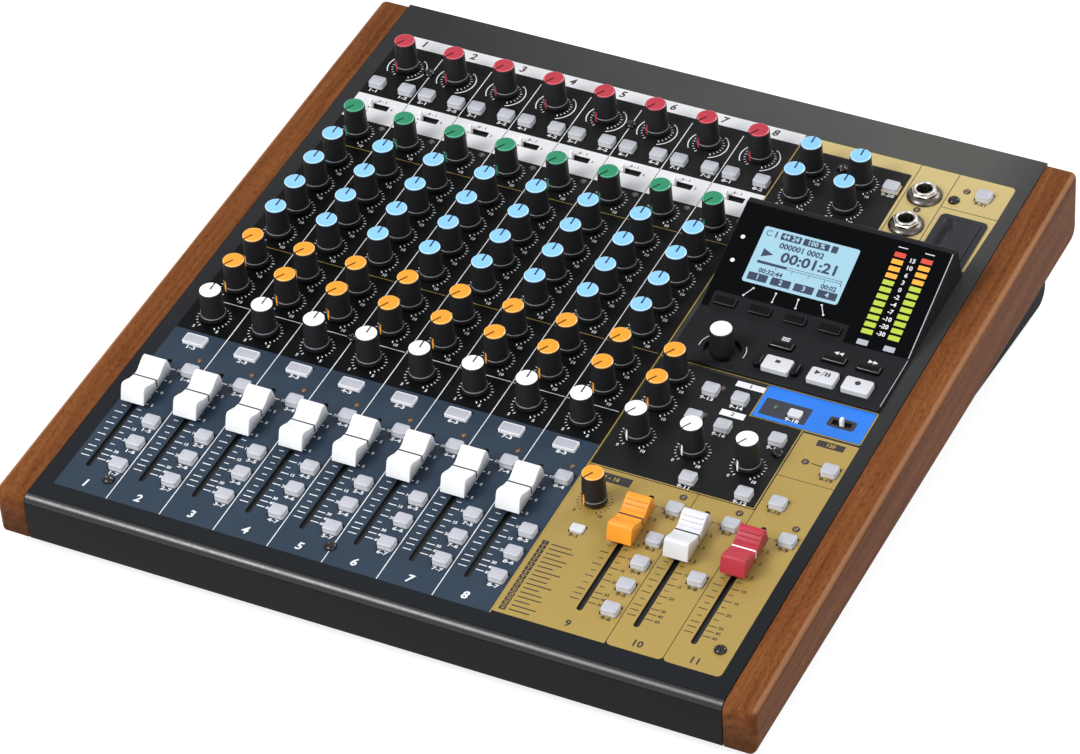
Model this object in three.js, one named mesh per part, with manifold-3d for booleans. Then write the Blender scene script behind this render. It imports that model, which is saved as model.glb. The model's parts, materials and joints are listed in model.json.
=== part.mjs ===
import * as THREE from "three";
import { mergeVertices } from "three/addons/utils/BufferGeometryUtils.js";
import Module from "manifold-3d";

// A small mixing console between two wooden end panels. Lengths are in millimetres. The deck's own axes are
// x across, y up the slope from the lower ends of the fader slots, and z out of the sloping panel.

// Body
const TILT = THREE.MathUtils.degToRad(9);
const STRIP_PITCH = 25;
const STRIP_COUNT = 12;
const CHANNEL_COUNT = 8;
const MASTER_STRIPS = [...Array(STRIP_COUNT).keys()].slice(CHANNEL_COUNT);
const [KNOB_STRIP, EFFECT_STRIP, SUB_STRIP, MAIN_STRIP] = MASTER_STRIPS;
const DECK_MARGIN = 7.5;
const FRONT_RAIL = 26.8;
const RAIL_HEIGHT = 22.7;
const RIDGE_RADIUS = 4;
const SHEET = 1.5;
const HEEL_RADIUS = 7;
const HEEL_LIP = 3;
const FOOT_HEIGHT = 8;
const FOOT_RADIUS = 9;
const FOOT_INSET = 24;
const FIT = 0.3;
const OVERRUN = 1;

// Wooden end panels
const WOOD_THICKNESS = 14;
const WOOD_REAR_HEIGHT = 36.9;
const WOOD_EDGE_RADIUS = 3;
const WOOD_HEEL_RADIUS = 7;

// Columns, from the left line of a strip, and rows, from the lower ends of the fader slots
const FADER_COLUMN = 8.3;
const KNOB_COLUMN = 12.8;
const BUTTON_COLUMN = 20.4;
const REC_COLUMN = 12.6;
const LOW_CUT_COLUMN = 5.6;
const MODE_COLUMN = 13.3;
const SLOT_LENGTH = 70;
const SOLO_ROW = 4.6;
const SUB_ROW = 19.1;
const MAIN_ROW = 32.9;
const MUTE_SET_BACK = 3.2;
const REC_STEP = 15.6;
const PAN_STEP = 16.1;
const ROW_PITCH = 18;
const GROUP_STEP = 21;
const MODE_STEP = 20.1;
const LOW_CUT_STEP = 14.7;
const GAIN_STEP = 15.4;
const REAR_MARGIN = 43.1;
const MUTE_ROW = SLOT_LENGTH - MUTE_SET_BACK;
const REC_ROW = SLOT_LENGTH + REC_STEP;
const PAN_ROW = REC_ROW + PAN_STEP;
const AUX_2_ROW = PAN_ROW + GROUP_STEP;
const AUX_1_ROW = AUX_2_ROW + ROW_PITCH;
const LOW_ROW = AUX_1_ROW + GROUP_STEP;
const MID_GAIN_ROW = LOW_ROW + ROW_PITCH;
const MID_FREQUENCY_ROW = MID_GAIN_ROW + ROW_PITCH;
const HIGH_ROW = MID_FREQUENCY_ROW + ROW_PITCH;
const COMPRESSOR_ROW = HIGH_ROW + GROUP_STEP;
const MODE_ROW = COMPRESSOR_ROW + MODE_STEP;
const LOW_CUT_ROW = MODE_ROW + LOW_CUT_STEP;
const GAIN_ROW = LOW_CUT_ROW + GAIN_STEP;

// Master section
const EQ_COLUMN_STEP = 23.4;
const EQ_ROW_STEP = 18.7;
const EFFECT_ROW = 59.6;
const EFFECT_SELECT_COLUMN = 13.3;
const EFFECT_SELECT_ROW = 42;
const EFFECT_AUX_ROW = 47.2;
const AUX_MUTE_COLUMN = 4.9;
const AUX_LISTEN_COLUMN = 18.6;
const PHONES_SOURCE_COLUMN = 18;
const AUX_MUTE_STEP = 2.2;
const AUX_LISTEN_STEP = 3;
const RETURN_COLUMN = 17.9;
const POST_RECORD_COLUMN = 8.2;
const TAP_STEP = 9.3;
const EQ_SWITCH_STEP = 1.6;
const PHANTOM_COLUMN = 15.1;
const PHANTOM_STEP = 10.6;
const PAIRING_COLUMN = 18.3;
const PAIRING_STEP = 13.3;
const ASSIGN_COLUMN = 13.5;
const ASSIGN_STEP = 11.6;

// Rotary controls
const KNOB_HEIGHT = 16.2;
const KNOB_TOP_RADIUS = 4.7;
const KNOB_SKIRT_RADIUS = 5.5;
const KNOB_SKIRT_HEIGHT = 2.6;
const KNOB_LIFT = 0.8;
const KNOB_EDGE = 0.5;
const NOTCH_WIDTH = 0.9;
const NOTCH_DEPTH = 0.6;
const SPINDLE_RADIUS = 3;
const SPINDLE_DEPTH_SHARE = 0.7;
const POT_WIDTH = 10;
const JOG_HEIGHT = 13.8;
const KNOB_SIDES = 12;
const SPINDLE_SIDES = 8;
const HOLE_SIDES = 6;
const LEAST_TURN = THREE.MathUtils.degToRad(-150);

// Faders
const SLOT_WIDTH = 2.4;
const FADER_REST = 50.5;
const STEM_WIDTH = 1.6;
const STEM_LENGTH = 6;
const STEM_DEPTH = 9;
const CAP_LENGTH = 24;
const CAP_WIDTH = 11;
const CAP_TOP_WIDTH = 9.8;
const CAP_LIFT = 2.7;
const CAP_WALL = 3.2;
const CAP_FRONT_HEIGHT = 9.4;
const CAP_REAR_HEIGHT = 10.8;
const CAP_VALLEY_HEIGHT = 7.3;
const CAP_GROOVE = 0.8;
const FADER_BODY_WIDTH = 9;
const FADER_BODY_END = 6;

// Buttons and slide switches
const BUTTON_WIDTH = 7;
const BUTTON_DEPTH = 6;
const BUTTON_HEIGHT = 3;
const BUTTON_EDGE = 0.8;
const BUTTON_SKIRT = 4;
const REC_WIDTH = 10.5;
const REC_HEIGHT = 1.2;
const SELECT_WIDTH = 6;
const SELECT_DEPTH = 4.4;
const SWITCH_SLOT = 8.5;
const SWITCH_SLOT_WIDTH = 3;
const SWITCH_LEVER = 3;
const SWITCH_LEVER_WIDTH = 2.2;
const SWITCH_HEIGHT = 1.4;
const PRESS_TRAVEL = 1;

// Control board under the panel
const BOARD_DEPTH = 12;
const BOARD_THICKNESS = 1.6;
const BOARD_FRONT_GAP = 8;
const BOARD_REAR_STEP = 13.1;
const BOARD_SIDE_GAP = 5;
const BOARD_NOTCH_GAP = 1.95;
const BOARD_NOTCH_STEP = 5.5;

// Display and transport moulding, measured from the left line of its first strip
const HOUSING_LEFT = 4;
const HOUSING_STEP = 10.8;
const KEY_SHELF_LENGTH = 33.3;
const SCREEN_RUN = 52.2;
const CREST_WIDTH = 3.5;
const BACK_SLOPE = 5;
const HOUSING_SHELF = 1.6;
const HOUSING_HEIGHT = 19.3;
const WINDOW_THICKNESS = 1.2;
const WINDOW_BORDER = 1.5;
const WINDOW_TAB_HEIGHT = 8.6;
const WINDOW_TAB_WIDTH = 60;
const WINDOW_TAB_LEFT = 4.4;
const SOFT_KEY_WIDTH = 10;
const SOFT_KEY_DEPTH = 4.4;
const SOFT_KEY_PITCH = 16.1;
const SOFT_KEY_FIRST = 14.2;
const SOFT_KEY_RISE = 4.4;
const SOFT_KEY_HEIGHT = 1;
const JOG_COLUMN = 24.4;
const JOG_STEP = 10.9;
const JOG_WELL_RADIUS = 8.3;
const SMALL_KEY_WIDTH = 10.5;
const SMALL_KEY_DEPTH = 4.6;
const SMALL_KEY_STEP = 12.8;
const WIDE_KEY_WIDTH = 12.6;
const WIDE_KEY_DEPTH = 8.4;
const WIDE_KEY_STEP = 9.4;
const STOP_STEP = 26.1;
const MENU_SET_BACK = 3.5;
const PLAY_STEP = 20.6;
const KEY_PITCH = 15.7;
const KEY_MARGIN = 7.3;
const SMALL_KEY_HEIGHT = 3.4;
const WIDE_KEY_HEIGHT = 4.2;
const KEY_EDGE = 0.7;
const SHELF_OPENING_STEP = 11.2;
const STOP_COLUMN = JOG_COLUMN + STOP_STEP;
const MENU_COLUMN = STOP_COLUMN - MENU_SET_BACK;
const REWIND_COLUMN = STOP_COLUMN + PLAY_STEP;
const FORWARD_COLUMN = REWIND_COLUMN + KEY_PITCH;
const HOUSING_WIDTH = FORWARD_COLUMN + WIDE_KEY_WIDTH / 2 + KEY_MARGIN - HOUSING_LEFT;
const HOUSING_FRONT_ROW = AUX_1_ROW + HOUSING_STEP;
const HOUSING_KINK_ROW = HOUSING_FRONT_ROW + KEY_SHELF_LENGTH;
const HOUSING_TOP_ROW = HOUSING_KINK_ROW + SCREEN_RUN;
const HOUSING_CREST_ROW = HOUSING_TOP_ROW + CREST_WIDTH;
const HOUSING_REAR_ROW = HOUSING_CREST_ROW + BACK_SLOPE;
const SHELF_OPENING_ROW = HOUSING_KINK_ROW + SHELF_OPENING_STEP;
const JOG_ROW = HOUSING_FRONT_ROW + JOG_STEP;
const WIDE_KEY_ROW = HOUSING_FRONT_ROW + WIDE_KEY_STEP;
const SMALL_KEY_ROW = WIDE_KEY_ROW + SMALL_KEY_STEP;

// Card bay behind the display
const BAY_WIDTH = 19.5;
const BAY_INSET = 2.4;
const BAY_LENGTH = 34.3;
const BAY_RIGHT = MASTER_STRIPS.length * STRIP_PITCH - BAY_INSET;
const BAY_LEFT = BAY_RIGHT - BAY_WIDTH;
const BAY_REAR_ROW = HOUSING_REAR_ROW + BAY_LENGTH;
const BAY_RIM = 0.9;
const BAY_FLANGE = 1.2;
const BAY_WALL = 1.2;
const BAY_DEPTH = 9;
const SCOOP_WIDTH = 5.3;
const DOOR_THICKNESS = 1.6;
const CARD_WIDTH = 25;
const CARD_SLOT_WIDTH = 2.6;
const CARD_SOCKET_DEPTH = 24;
const CARD_SOCKET_WALL = 2.4;

// Sockets
const JACK_BORE = 3.6;
const JACK_COLLAR = 6;
const JACK_COLLAR_HEIGHT = 2.5;
const JACK_BODY = 13;
const JACK_DEPTH = 14;
const LARGE_BORE = 9.6;
const LARGE_BODY = 24;
const LARGE_DEPTH = 18;
const SOCKET_FLOOR = 2;
const NUT_RADIUS = 8;
const NUT_HEIGHT = 2.6;
const PHONES_COLUMN = 15.2;
const PHONES_STEP = 22.5;
const PHONES_PITCH = 21.5;
const PHONES_BOARD_MARGIN = 10;
const CONNECTOR_PITCH = 27;
const UPPER_SOCKET_ROW = -20;
const LOWER_SOCKET_ROW = -48;
const USB_WIDTH = 9;
const USB_HEIGHT = 8;
const ROCKER_WIDTH = 12;
const ROCKER_HEIGHT = 8;
const ROCKER_DEPTH = 7;
const ROCKER_PROUD = 2;
const ROCKER_TIP = THREE.MathUtils.degToRad(8);

// Values worked out from the sizes above
const DECK_WIDTH = STRIP_PITCH * STRIP_COUNT + 2 * DECK_MARGIN;
const HALF_WIDTH = DECK_WIDTH / 2;
const FRONT = -FRONT_RAIL;
const REAR = GAIN_ROW + REAR_MARGIN;
const UNDER_SHEET = -SHEET - FIT;
const HEEL_START = REAR - HEEL_RADIUS;
const HEEL_CENTRE = [HEEL_START, bottomAt(HEEL_START) + HEEL_RADIUS / Math.cos(TILT)];
const HEEL_TOP = HEEL_CENTRE[1] + HEEL_LIP;
const PHONES_FRONT_ROW = HOUSING_REAR_ROW + PHONES_STEP;
const PHONES_ROWS = [PHONES_FRONT_ROW, PHONES_FRONT_ROW + PHONES_PITCH];
const PHONES_X = stripLeft(SUB_STRIP) + PHONES_COLUMN;
const BOARD_REAR_ROW = GAIN_ROW + BOARD_REAR_STEP;
const HOUSING_X = stripLeft(KNOB_STRIP) + HOUSING_LEFT;
const SCREEN_RISE = HOUSING_HEIGHT - HOUSING_SHELF;
const SCREEN_ANGLE = Math.atan2(SCREEN_RISE, SCREEN_RUN);
const SCREEN_LENGTH = Math.hypot(SCREEN_RISE, SCREEN_RUN);
const DOOR_AXIS_X = masterX(BAY_RIGHT) - BAY_WALL - FIT - DOOR_THICKNESS / 2;
const DOOR_AXIS_Z = BAY_RIM - DOOR_THICKNESS / 2;

function bottomAt(row) {
  return -RAIL_HEIGHT - (row - FRONT) * Math.tan(TILT);
}

function stripLeft(index) {
  return STRIP_PITCH * (index - STRIP_COUNT / 2);
}

function masterX(column) {
  return stripLeft(KNOB_STRIP) + column;
}

// Colours and surfaces
const FINISHES = {
  steel: { color: 0x1c1d20, roughness: 0.45, metalness: 0.6 },
  panel: { color: 0x2b2f36, roughness: 0.5, metalness: 0.3 },
  wood: { color: 0x7d4a2a, roughness: 0.4, metalness: 0 },
  board: { color: 0x1f5a3a, roughness: 0.6, metalness: 0 },
  housing: { color: 0x303237, roughness: 0.45, metalness: 0 },
  glass: { color: 0x07080a, roughness: 0.08, metalness: 0 },
  plated: { color: 0xb9b9bd, roughness: 0.25, metalness: 1 },
  rubber: { color: 0x151515, roughness: 0.9, metalness: 0 },
  red: { color: 0xcd3c4b, roughness: 0.45, metalness: 0 },
  green: { color: 0x2d825a, roughness: 0.45, metalness: 0 },
  blue: { color: 0x8cc8f5, roughness: 0.45, metalness: 0 },
  orange: { color: 0xf59b28, roughness: 0.45, metalness: 0 },
  white: { color: 0xf2f2f2, roughness: 0.45, metalness: 0 },
  key: { color: 0xc9ccd4, roughness: 0.5, metalness: 0 },
  black: { color: 0x17181a, roughness: 0.4, metalness: 0 },
};

const library = await Module();
library.setup();

const deck = new THREE.Group();
deck.rotation.x = TILT;

// Solids from geometries, and back
function solid(geometry) {
  const bare = geometry.clone();
  bare.deleteAttribute("normal");
  bare.deleteAttribute("uv");
  const merged = mergeVertices(bare);
  const vertProperties = new Float32Array(merged.attributes.position.array);
  const triVerts = new Uint32Array(merged.index.array);
  return new library.Manifold(new library.Mesh({ numProp: 3, vertProperties, triVerts }));
}

function joined(solids) {
  return solids.reduce((whole, piece) => whole.add(piece));
}

function cut(whole, tools) {
  return tools.reduce((rest, tool) => rest.subtract(tool), whole);
}

function addPart(name, shape, finish) {
  const mesh = shape.getMesh();
  const geometry = new THREE.BufferGeometry();
  geometry.setAttribute("position", new THREE.BufferAttribute(mesh.vertProperties, 3));
  geometry.setIndex(new THREE.BufferAttribute(mesh.triVerts, 1));
  const flat = geometry.toNonIndexed();
  flat.computeVertexNormals();
  const part = new THREE.Mesh(flat, new THREE.MeshStandardMaterial(FINISHES[finish]));
  part.name = name;
  deck.add(part);
  return part;
}

// Basic forms, each given by the ranges it fills across x, up the slope and out of the panel
function block([x0, x1], [y0, y1], [z0, z1]) {
  const box = new THREE.BoxGeometry(x1 - x0, y1 - y0, z1 - z0);
  return solid(box.translate((x0 + x1) / 2, (y0 + y1) / 2, (z0 + z1) / 2));
}

function around(centre, size) {
  return [centre - size / 2, centre + size / 2];
}

function shapeOf(points) {
  return new THREE.Shape(points.map(([u, v]) => new THREE.Vector2(u, v)));
}

function prismAcross(points, [x0, x1]) {
  const slab = new THREE.ExtrudeGeometry(shapeOf(points), { depth: x1 - x0, bevelEnabled: false });
  const turn = new THREE.Matrix4().makeBasis(
    new THREE.Vector3(0, 1, 0),
    new THREE.Vector3(0, 0, 1),
    new THREE.Vector3(1, 0, 0),
  );
  return solid(slab.applyMatrix4(turn).translate(x0, 0, 0));
}

function prismAlong(points, [y0, y1]) {
  const slab = new THREE.ExtrudeGeometry(shapeOf(points), { depth: y1 - y0, bevelEnabled: false });
  return solid(slab.rotateX(Math.PI / 2).translate(0, y1, 0));
}

function post([x, y], [z0, z1], radius, sides) {
  const cylinder = new THREE.CylinderGeometry(radius, radius, z1 - z0, sides);
  return solid(cylinder.rotateX(Math.PI / 2).translate(x, y, (z0 + z1) / 2));
}

function drum([x, z], [y0, y1], radius, sides) {
  const cylinder = new THREE.CylinderGeometry(radius, radius, y1 - y0, sides);
  return solid(cylinder.rotateY(Math.PI / sides).translate(x, (y0 + y1) / 2, z));
}

function arc([u, v], radius, from, to, steps) {
  const points = [];
  for (let i = 0; i <= steps; i += 1) {
    const angle = from + ((to - from) * i) / steps;
    points.push([u + radius * Math.cos(angle), v + radius * Math.sin(angle)]);
  }
  return points;
}

// A cap with straight sides and a chamfered top edge
function keycap([x, y], [width, depth], [z0, z1], edge) {
  const height = z1 - z0;
  const box = new THREE.BoxGeometry(width, depth, height, 1, 1, 2);
  const at = box.attributes.position;
  for (let i = 0; i < at.count; i += 1) {
    const level = Math.sign(at.getZ(i));
    if (level === 0) at.setZ(i, height / 2 - edge);
    if (level > 0) at.setX(i, at.getX(i) - Math.sign(at.getX(i)) * edge);
    if (level > 0) at.setY(i, at.getY(i) - Math.sign(at.getY(i)) * edge);
  }
  return solid(box.translate(x, y, (z0 + z1) / 2));
}

// The bent outline of the deck's front: rail, rolled ridge and flat
function ridge(inset) {
  const radius = RIDGE_RADIUS - inset;
  const centre = [FRONT + RIDGE_RADIUS, -RIDGE_RADIUS];
  return arc(centre, radius, Math.PI, Math.PI / 2, 4);
}

// Wooden end panels: the side outline with its outer edges rounded and its inner face flat
function woodOutline() {
  const slope = Math.atan2(WOOD_REAR_HEIGHT - RAIL_HEIGHT, REAR - FRONT);
  const edge = WOOD_EDGE_RADIUS;
  const heel = WOOD_HEEL_RADIUS;
  const heelCentre = [REAR - heel, -WOOD_REAR_HEIGHT + heel * (1 + Math.tan(slope))];
  const rearTop = arc([REAR - edge, -edge], edge, Math.PI / 2, 0, 2);
  const rearFoot = arc(heelCentre, heel, 0, -Math.PI / 2 - slope, 4);
  return [[FRONT, -RAIL_HEIGHT], ...ridge(0), ...rearTop, ...rearFoot].reverse();
}

function woodPanel(name, side) {
  const edge = WOOD_EDGE_RADIUS;
  const settings = {
    depth: WOOD_THICKNESS,
    bevelThickness: edge,
    bevelSize: edge,
    bevelOffset: -edge,
    bevelSegments: 2,
  };
  const slab = new THREE.ExtrudeGeometry(shapeOf(woodOutline()), settings);
  const turn = new THREE.Matrix4().makeBasis(
    new THREE.Vector3(0, 1, 0),
    new THREE.Vector3(0, 0, 1),
    new THREE.Vector3(1, 0, 0),
  );
  const outer = HALF_WIDTH + WOOD_THICKNESS;
  slab.applyMatrix4(turn).translate(outer - WOOD_THICKNESS - edge, 0, 0);
  const beyond = [FRONT - OVERRUN, REAR + OVERRUN];
  const inner = block([0, HALF_WIDTH], beyond, [-WOOD_REAR_HEIGHT - OVERRUN, OVERRUN]);
  const right = solid(slab).subtract(inner);
  const shape = side > 0 ? right : right.mirror([1, 0, 0]);
  addPart(name, shape, "wood");
}

// Steel tray: floor, side walls and the rolled heel that carries the rear panel
function chassis() {
  const start = FRONT + SHEET + FIT;
  const halfWidth = HALF_WIDTH - FIT;
  const wedge = (inset, from, top) => {
    const heel = arc(HEEL_CENTRE, HEEL_RADIUS - inset, -Math.PI / 2 - TILT, 0, 5);
    const floor = [from, bottomAt(from) + inset / Math.cos(TILT)];
    return [floor, ...heel, [REAR - inset, top], [from + RIDGE_RADIUS, top], [from, top - RIDGE_RADIUS]];
  };
  const shell = prismAcross(wedge(0, start, UNDER_SHEET), [-halfWidth, halfWidth]);
  const hollow = prismAcross(wedge(SHEET, start - OVERRUN, OVERRUN), [SHEET - halfWidth, halfWidth - SHEET]);
  const beyond = [-HALF_WIDTH, HALF_WIDTH];
  const rearWindow = block(beyond, [REAR - SHEET - FIT, REAR + OVERRUN], [HEEL_TOP, OVERRUN]);
  addPart("chassis", cut(shell, [hollow, rearWindow]), "steel");
}

function feet() {
  const rows = [FRONT + FOOT_INSET, REAR - FOOT_INSET];
  const names = ["front", "rear"];
  rows.forEach((row, i) => {
    [-1, 1].forEach((side) => {
      const height = FOOT_HEIGHT - FIT;
      const geometry = new THREE.CylinderGeometry(FOOT_RADIUS, FOOT_RADIUS, height, 2 * SPINDLE_SIDES);
      const material = new THREE.MeshStandardMaterial(FINISHES.rubber);
      const foot = new THREE.Mesh(geometry.rotateX(Math.PI / 2), material);
      foot.name = names[i] + (side < 0 ? "_left_foot" : "_right_foot");
      foot.position.set(side * (HALF_WIDTH - FOOT_INSET), row, bottomAt(row));
      foot.rotation.x = -TILT;
      foot.translateZ(-FOOT_HEIGHT / 2 - FIT / 2);
      deck.add(foot);
    });
  });
}

// Rotary controls
function knobProfile(height, bore) {
  const reach = height * SPINDLE_DEPTH_SHARE;
  const outside = [
    [KNOB_SKIRT_RADIUS, KNOB_LIFT],
    [KNOB_SKIRT_RADIUS, KNOB_LIFT + KNOB_SKIRT_HEIGHT],
    [KNOB_TOP_RADIUS, height - KNOB_EDGE],
    [KNOB_TOP_RADIUS - KNOB_EDGE, height],
    [0, height],
  ];
  const inside = bore ? [[0, reach + FIT], [bore, reach + FIT], [bore, KNOB_LIFT]] : [[0, KNOB_LIFT]];
  return [...inside, ...outside].map(([r, z]) => new THREE.Vector2(r, z));
}

function knob([x, y], height, pointer) {
  const bore = (SPINDLE_RADIUS + FIT) / Math.cos(Math.PI / KNOB_SIDES);
  const body = new THREE.LatheGeometry(knobProfile(height, bore), KNOB_SIDES).rotateX(Math.PI / 2);
  const notch = new THREE.BoxGeometry(NOTCH_WIDTH, KNOB_SKIRT_RADIUS, 2 * NOTCH_DEPTH);
  notch.translate(0, KNOB_SKIRT_RADIUS / 2, height).rotateZ(-pointer);
  return solid(body.translate(x, y, 0)).subtract(solid(notch.translate(x, y, 0)));
}

function fixedKnob([x, y]) {
  const depth = SHEET / 2;
  const points = [
    [0, -depth],
    [KNOB_SKIRT_RADIUS, -depth],
    [KNOB_SKIRT_RADIUS, KNOB_LIFT + KNOB_SKIRT_HEIGHT],
    [KNOB_TOP_RADIUS, KNOB_HEIGHT],
    [0, KNOB_HEIGHT],
  ].map(([r, z]) => new THREE.Vector2(r, z));
  return solid(new THREE.LatheGeometry(points, SPINDLE_SIDES).rotateX(Math.PI / 2).translate(x, y, 0));
}

// What a channel strip carries, by row
const CHANNEL_KNOBS = [
  ["gain", GAIN_ROW, LEAST_TURN, "red"],
  ["compressor", COMPRESSOR_ROW, LEAST_TURN, "green"],
  ["high", HIGH_ROW, 0, "blue"],
  ["mid_frequency", MID_FREQUENCY_ROW, 0, "blue"],
  ["mid_gain", MID_GAIN_ROW, 0, "blue"],
  ["low", LOW_ROW, 0, "blue"],
  ["aux_1", AUX_1_ROW, LEAST_TURN, "orange"],
  ["aux_2", AUX_2_ROW, LEAST_TURN, "orange"],
  ["pan", PAN_ROW, 0, "white"],
];
const SQUARE_KEY = { size: [BUTTON_WIDTH, BUTTON_DEPTH], height: BUTTON_HEIGHT };
const LENS_KEY = { size: [REC_WIDTH, BUTTON_DEPTH], height: REC_HEIGHT };
const FLAT_KEY = { size: [SELECT_WIDTH, SELECT_DEPTH], height: REC_HEIGHT };
const CHANNEL_BUTTONS = [
  ["low_cut", LOW_CUT_COLUMN, LOW_CUT_ROW, SQUARE_KEY],
  ["instrument", BUTTON_COLUMN, LOW_CUT_ROW, SQUARE_KEY],
  ["record", REC_COLUMN, REC_ROW, LENS_KEY],
  ["mute", BUTTON_COLUMN, MUTE_ROW, SQUARE_KEY],
  ["main", BUTTON_COLUMN, MAIN_ROW, SQUARE_KEY],
  ["sub", BUTTON_COLUMN, SUB_ROW, SQUARE_KEY],
  ["solo", BUTTON_COLUMN, SOLO_ROW, SQUARE_KEY],
];

// Master controls: strip index, column, row
const MASTER_KNOBS = [
  ["master_low_knob", KNOB_STRIP, KNOB_COLUMN, GAIN_ROW - EQ_ROW_STEP, 0, "blue"],
  ["master_mid_gain_knob", KNOB_STRIP, KNOB_COLUMN, GAIN_ROW, 0, "blue"],
  ["master_high_knob", KNOB_STRIP, KNOB_COLUMN + EQ_COLUMN_STEP, GAIN_ROW - EQ_ROW_STEP, 0, "blue"],
  ["master_mid_frequency_knob", KNOB_STRIP, KNOB_COLUMN + EQ_COLUMN_STEP, GAIN_ROW, 0, "blue"],
  ["aux_1_master_knob", KNOB_STRIP, KNOB_COLUMN, AUX_1_ROW, LEAST_TURN, "orange"],
  ["aux_2_master_knob", KNOB_STRIP, KNOB_COLUMN, AUX_2_ROW, LEAST_TURN, "orange"],
  ["monitor_level_knob", KNOB_STRIP, KNOB_COLUMN, PAN_ROW, LEAST_TURN, "white"],
  ["phones_1_level_knob", EFFECT_STRIP, KNOB_COLUMN, PAN_ROW, LEAST_TURN, "white"],
  ["phones_2_level_knob", SUB_STRIP, KNOB_COLUMN, PAN_ROW, LEAST_TURN, "white"],
  ["effect_level_knob", KNOB_STRIP, KNOB_COLUMN, EFFECT_ROW, LEAST_TURN, "orange"],
];
const MASTER_BUTTONS = [
  [KNOB_STRIP, EFFECT_SELECT_COLUMN, EFFECT_SELECT_ROW, FLAT_KEY],
  [EFFECT_STRIP, BUTTON_COLUMN, MUTE_ROW, SQUARE_KEY],
  [EFFECT_STRIP, BUTTON_COLUMN, EFFECT_AUX_ROW, SQUARE_KEY],
  [EFFECT_STRIP, BUTTON_COLUMN, MAIN_ROW, SQUARE_KEY],
  [EFFECT_STRIP, BUTTON_COLUMN, SUB_ROW, SQUARE_KEY],
  [EFFECT_STRIP, BUTTON_COLUMN, SOLO_ROW, SQUARE_KEY],
  [SUB_STRIP, BUTTON_COLUMN, MUTE_ROW, SQUARE_KEY],
  [SUB_STRIP, BUTTON_COLUMN, MAIN_ROW, SQUARE_KEY],
  [MAIN_STRIP, BUTTON_COLUMN, MUTE_ROW, SQUARE_KEY],
  [MAIN_STRIP, POST_RECORD_COLUMN, REC_ROW, SQUARE_KEY],
  [EFFECT_STRIP, PHONES_SOURCE_COLUMN, REC_ROW, SQUARE_KEY],
  [SUB_STRIP, PHONES_SOURCE_COLUMN, REC_ROW, SQUARE_KEY],
  [EFFECT_STRIP, AUX_MUTE_COLUMN, AUX_1_ROW - AUX_MUTE_STEP, SQUARE_KEY],
  [EFFECT_STRIP, AUX_LISTEN_COLUMN, AUX_1_ROW - AUX_LISTEN_STEP, SQUARE_KEY],
  [EFFECT_STRIP, AUX_MUTE_COLUMN, AUX_2_ROW - AUX_MUTE_STEP, SQUARE_KEY],
  [EFFECT_STRIP, AUX_LISTEN_COLUMN, AUX_2_ROW - AUX_LISTEN_STEP, SQUARE_KEY],
  [SUB_STRIP, RETURN_COLUMN, AUX_2_ROW - AUX_MUTE_STEP, SQUARE_KEY],
  [SUB_STRIP, PAIRING_COLUMN, HOUSING_FRONT_ROW - PAIRING_STEP, FLAT_KEY],
  [MAIN_STRIP, BUTTON_COLUMN, PAN_ROW + TAP_STEP, SQUARE_KEY],
  [SUB_STRIP, 0, GAIN_ROW + EQ_SWITCH_STEP, SQUARE_KEY],
  [MAIN_STRIP, PHANTOM_COLUMN, GAIN_ROW + PHANTOM_STEP, SQUARE_KEY],
];
const TRANSPORT_KEYS = [
  ["menu_key", MENU_COLUMN, SMALL_KEY_ROW, false],
  ["rewind_key", REWIND_COLUMN, SMALL_KEY_ROW, false],
  ["forward_key", FORWARD_COLUMN, SMALL_KEY_ROW, false],
  ["stop_key", STOP_COLUMN, WIDE_KEY_ROW, true],
  ["play_key", REWIND_COLUMN, WIDE_KEY_ROW, true],
  ["record_key", FORWARD_COLUMN, WIDE_KEY_ROW, true],
];
const FADER_NAMES = [
  ...Array.from({ length: CHANNEL_COUNT }, (_, i) => `channel_${i + 1}_fader`),
  "effect_fader",
  "sub_fader",
  "main_fader",
];
const FADER_STRIPS = [...Array(CHANNEL_COUNT).keys(), EFFECT_STRIP, SUB_STRIP, MAIN_STRIP];

const channelKnobPlaces = (strip) => CHANNEL_KNOBS.map(([, row]) => [stripLeft(strip) + KNOB_COLUMN, row]);
const masterKnobPlaces = MASTER_KNOBS.map(([, strip, column, row]) => [stripLeft(strip) + column, row]);
const movingKnobPlaces = [...channelKnobPlaces(0), ...masterKnobPlaces];
const jogPlace = [masterX(JOG_COLUMN), JOG_ROW];

// Top panel: a folded sheet with the controls of channels 2 to 8 and the master buttons on it
function fixedButton(x, y, key) {
  return keycap([x, y], key.size, [-SHEET / 2, key.height], Math.min(BUTTON_EDGE, key.height / 2));
}

function slotTool(x, y0, y1, width) {
  const radius = width / 2;
  const right = arc([x, y1 - radius], radius, 0, Math.PI, 3);
  const left = arc([x, y0 + radius], radius, Math.PI, 2 * Math.PI, 3);
  const slab = new THREE.ExtrudeGeometry(shapeOf([...right, ...left]), {
    depth: SHEET + 2 * OVERRUN,
    bevelEnabled: false,
  });
  return solid(slab.translate(0, 0, -SHEET - OVERRUN));
}

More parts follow.
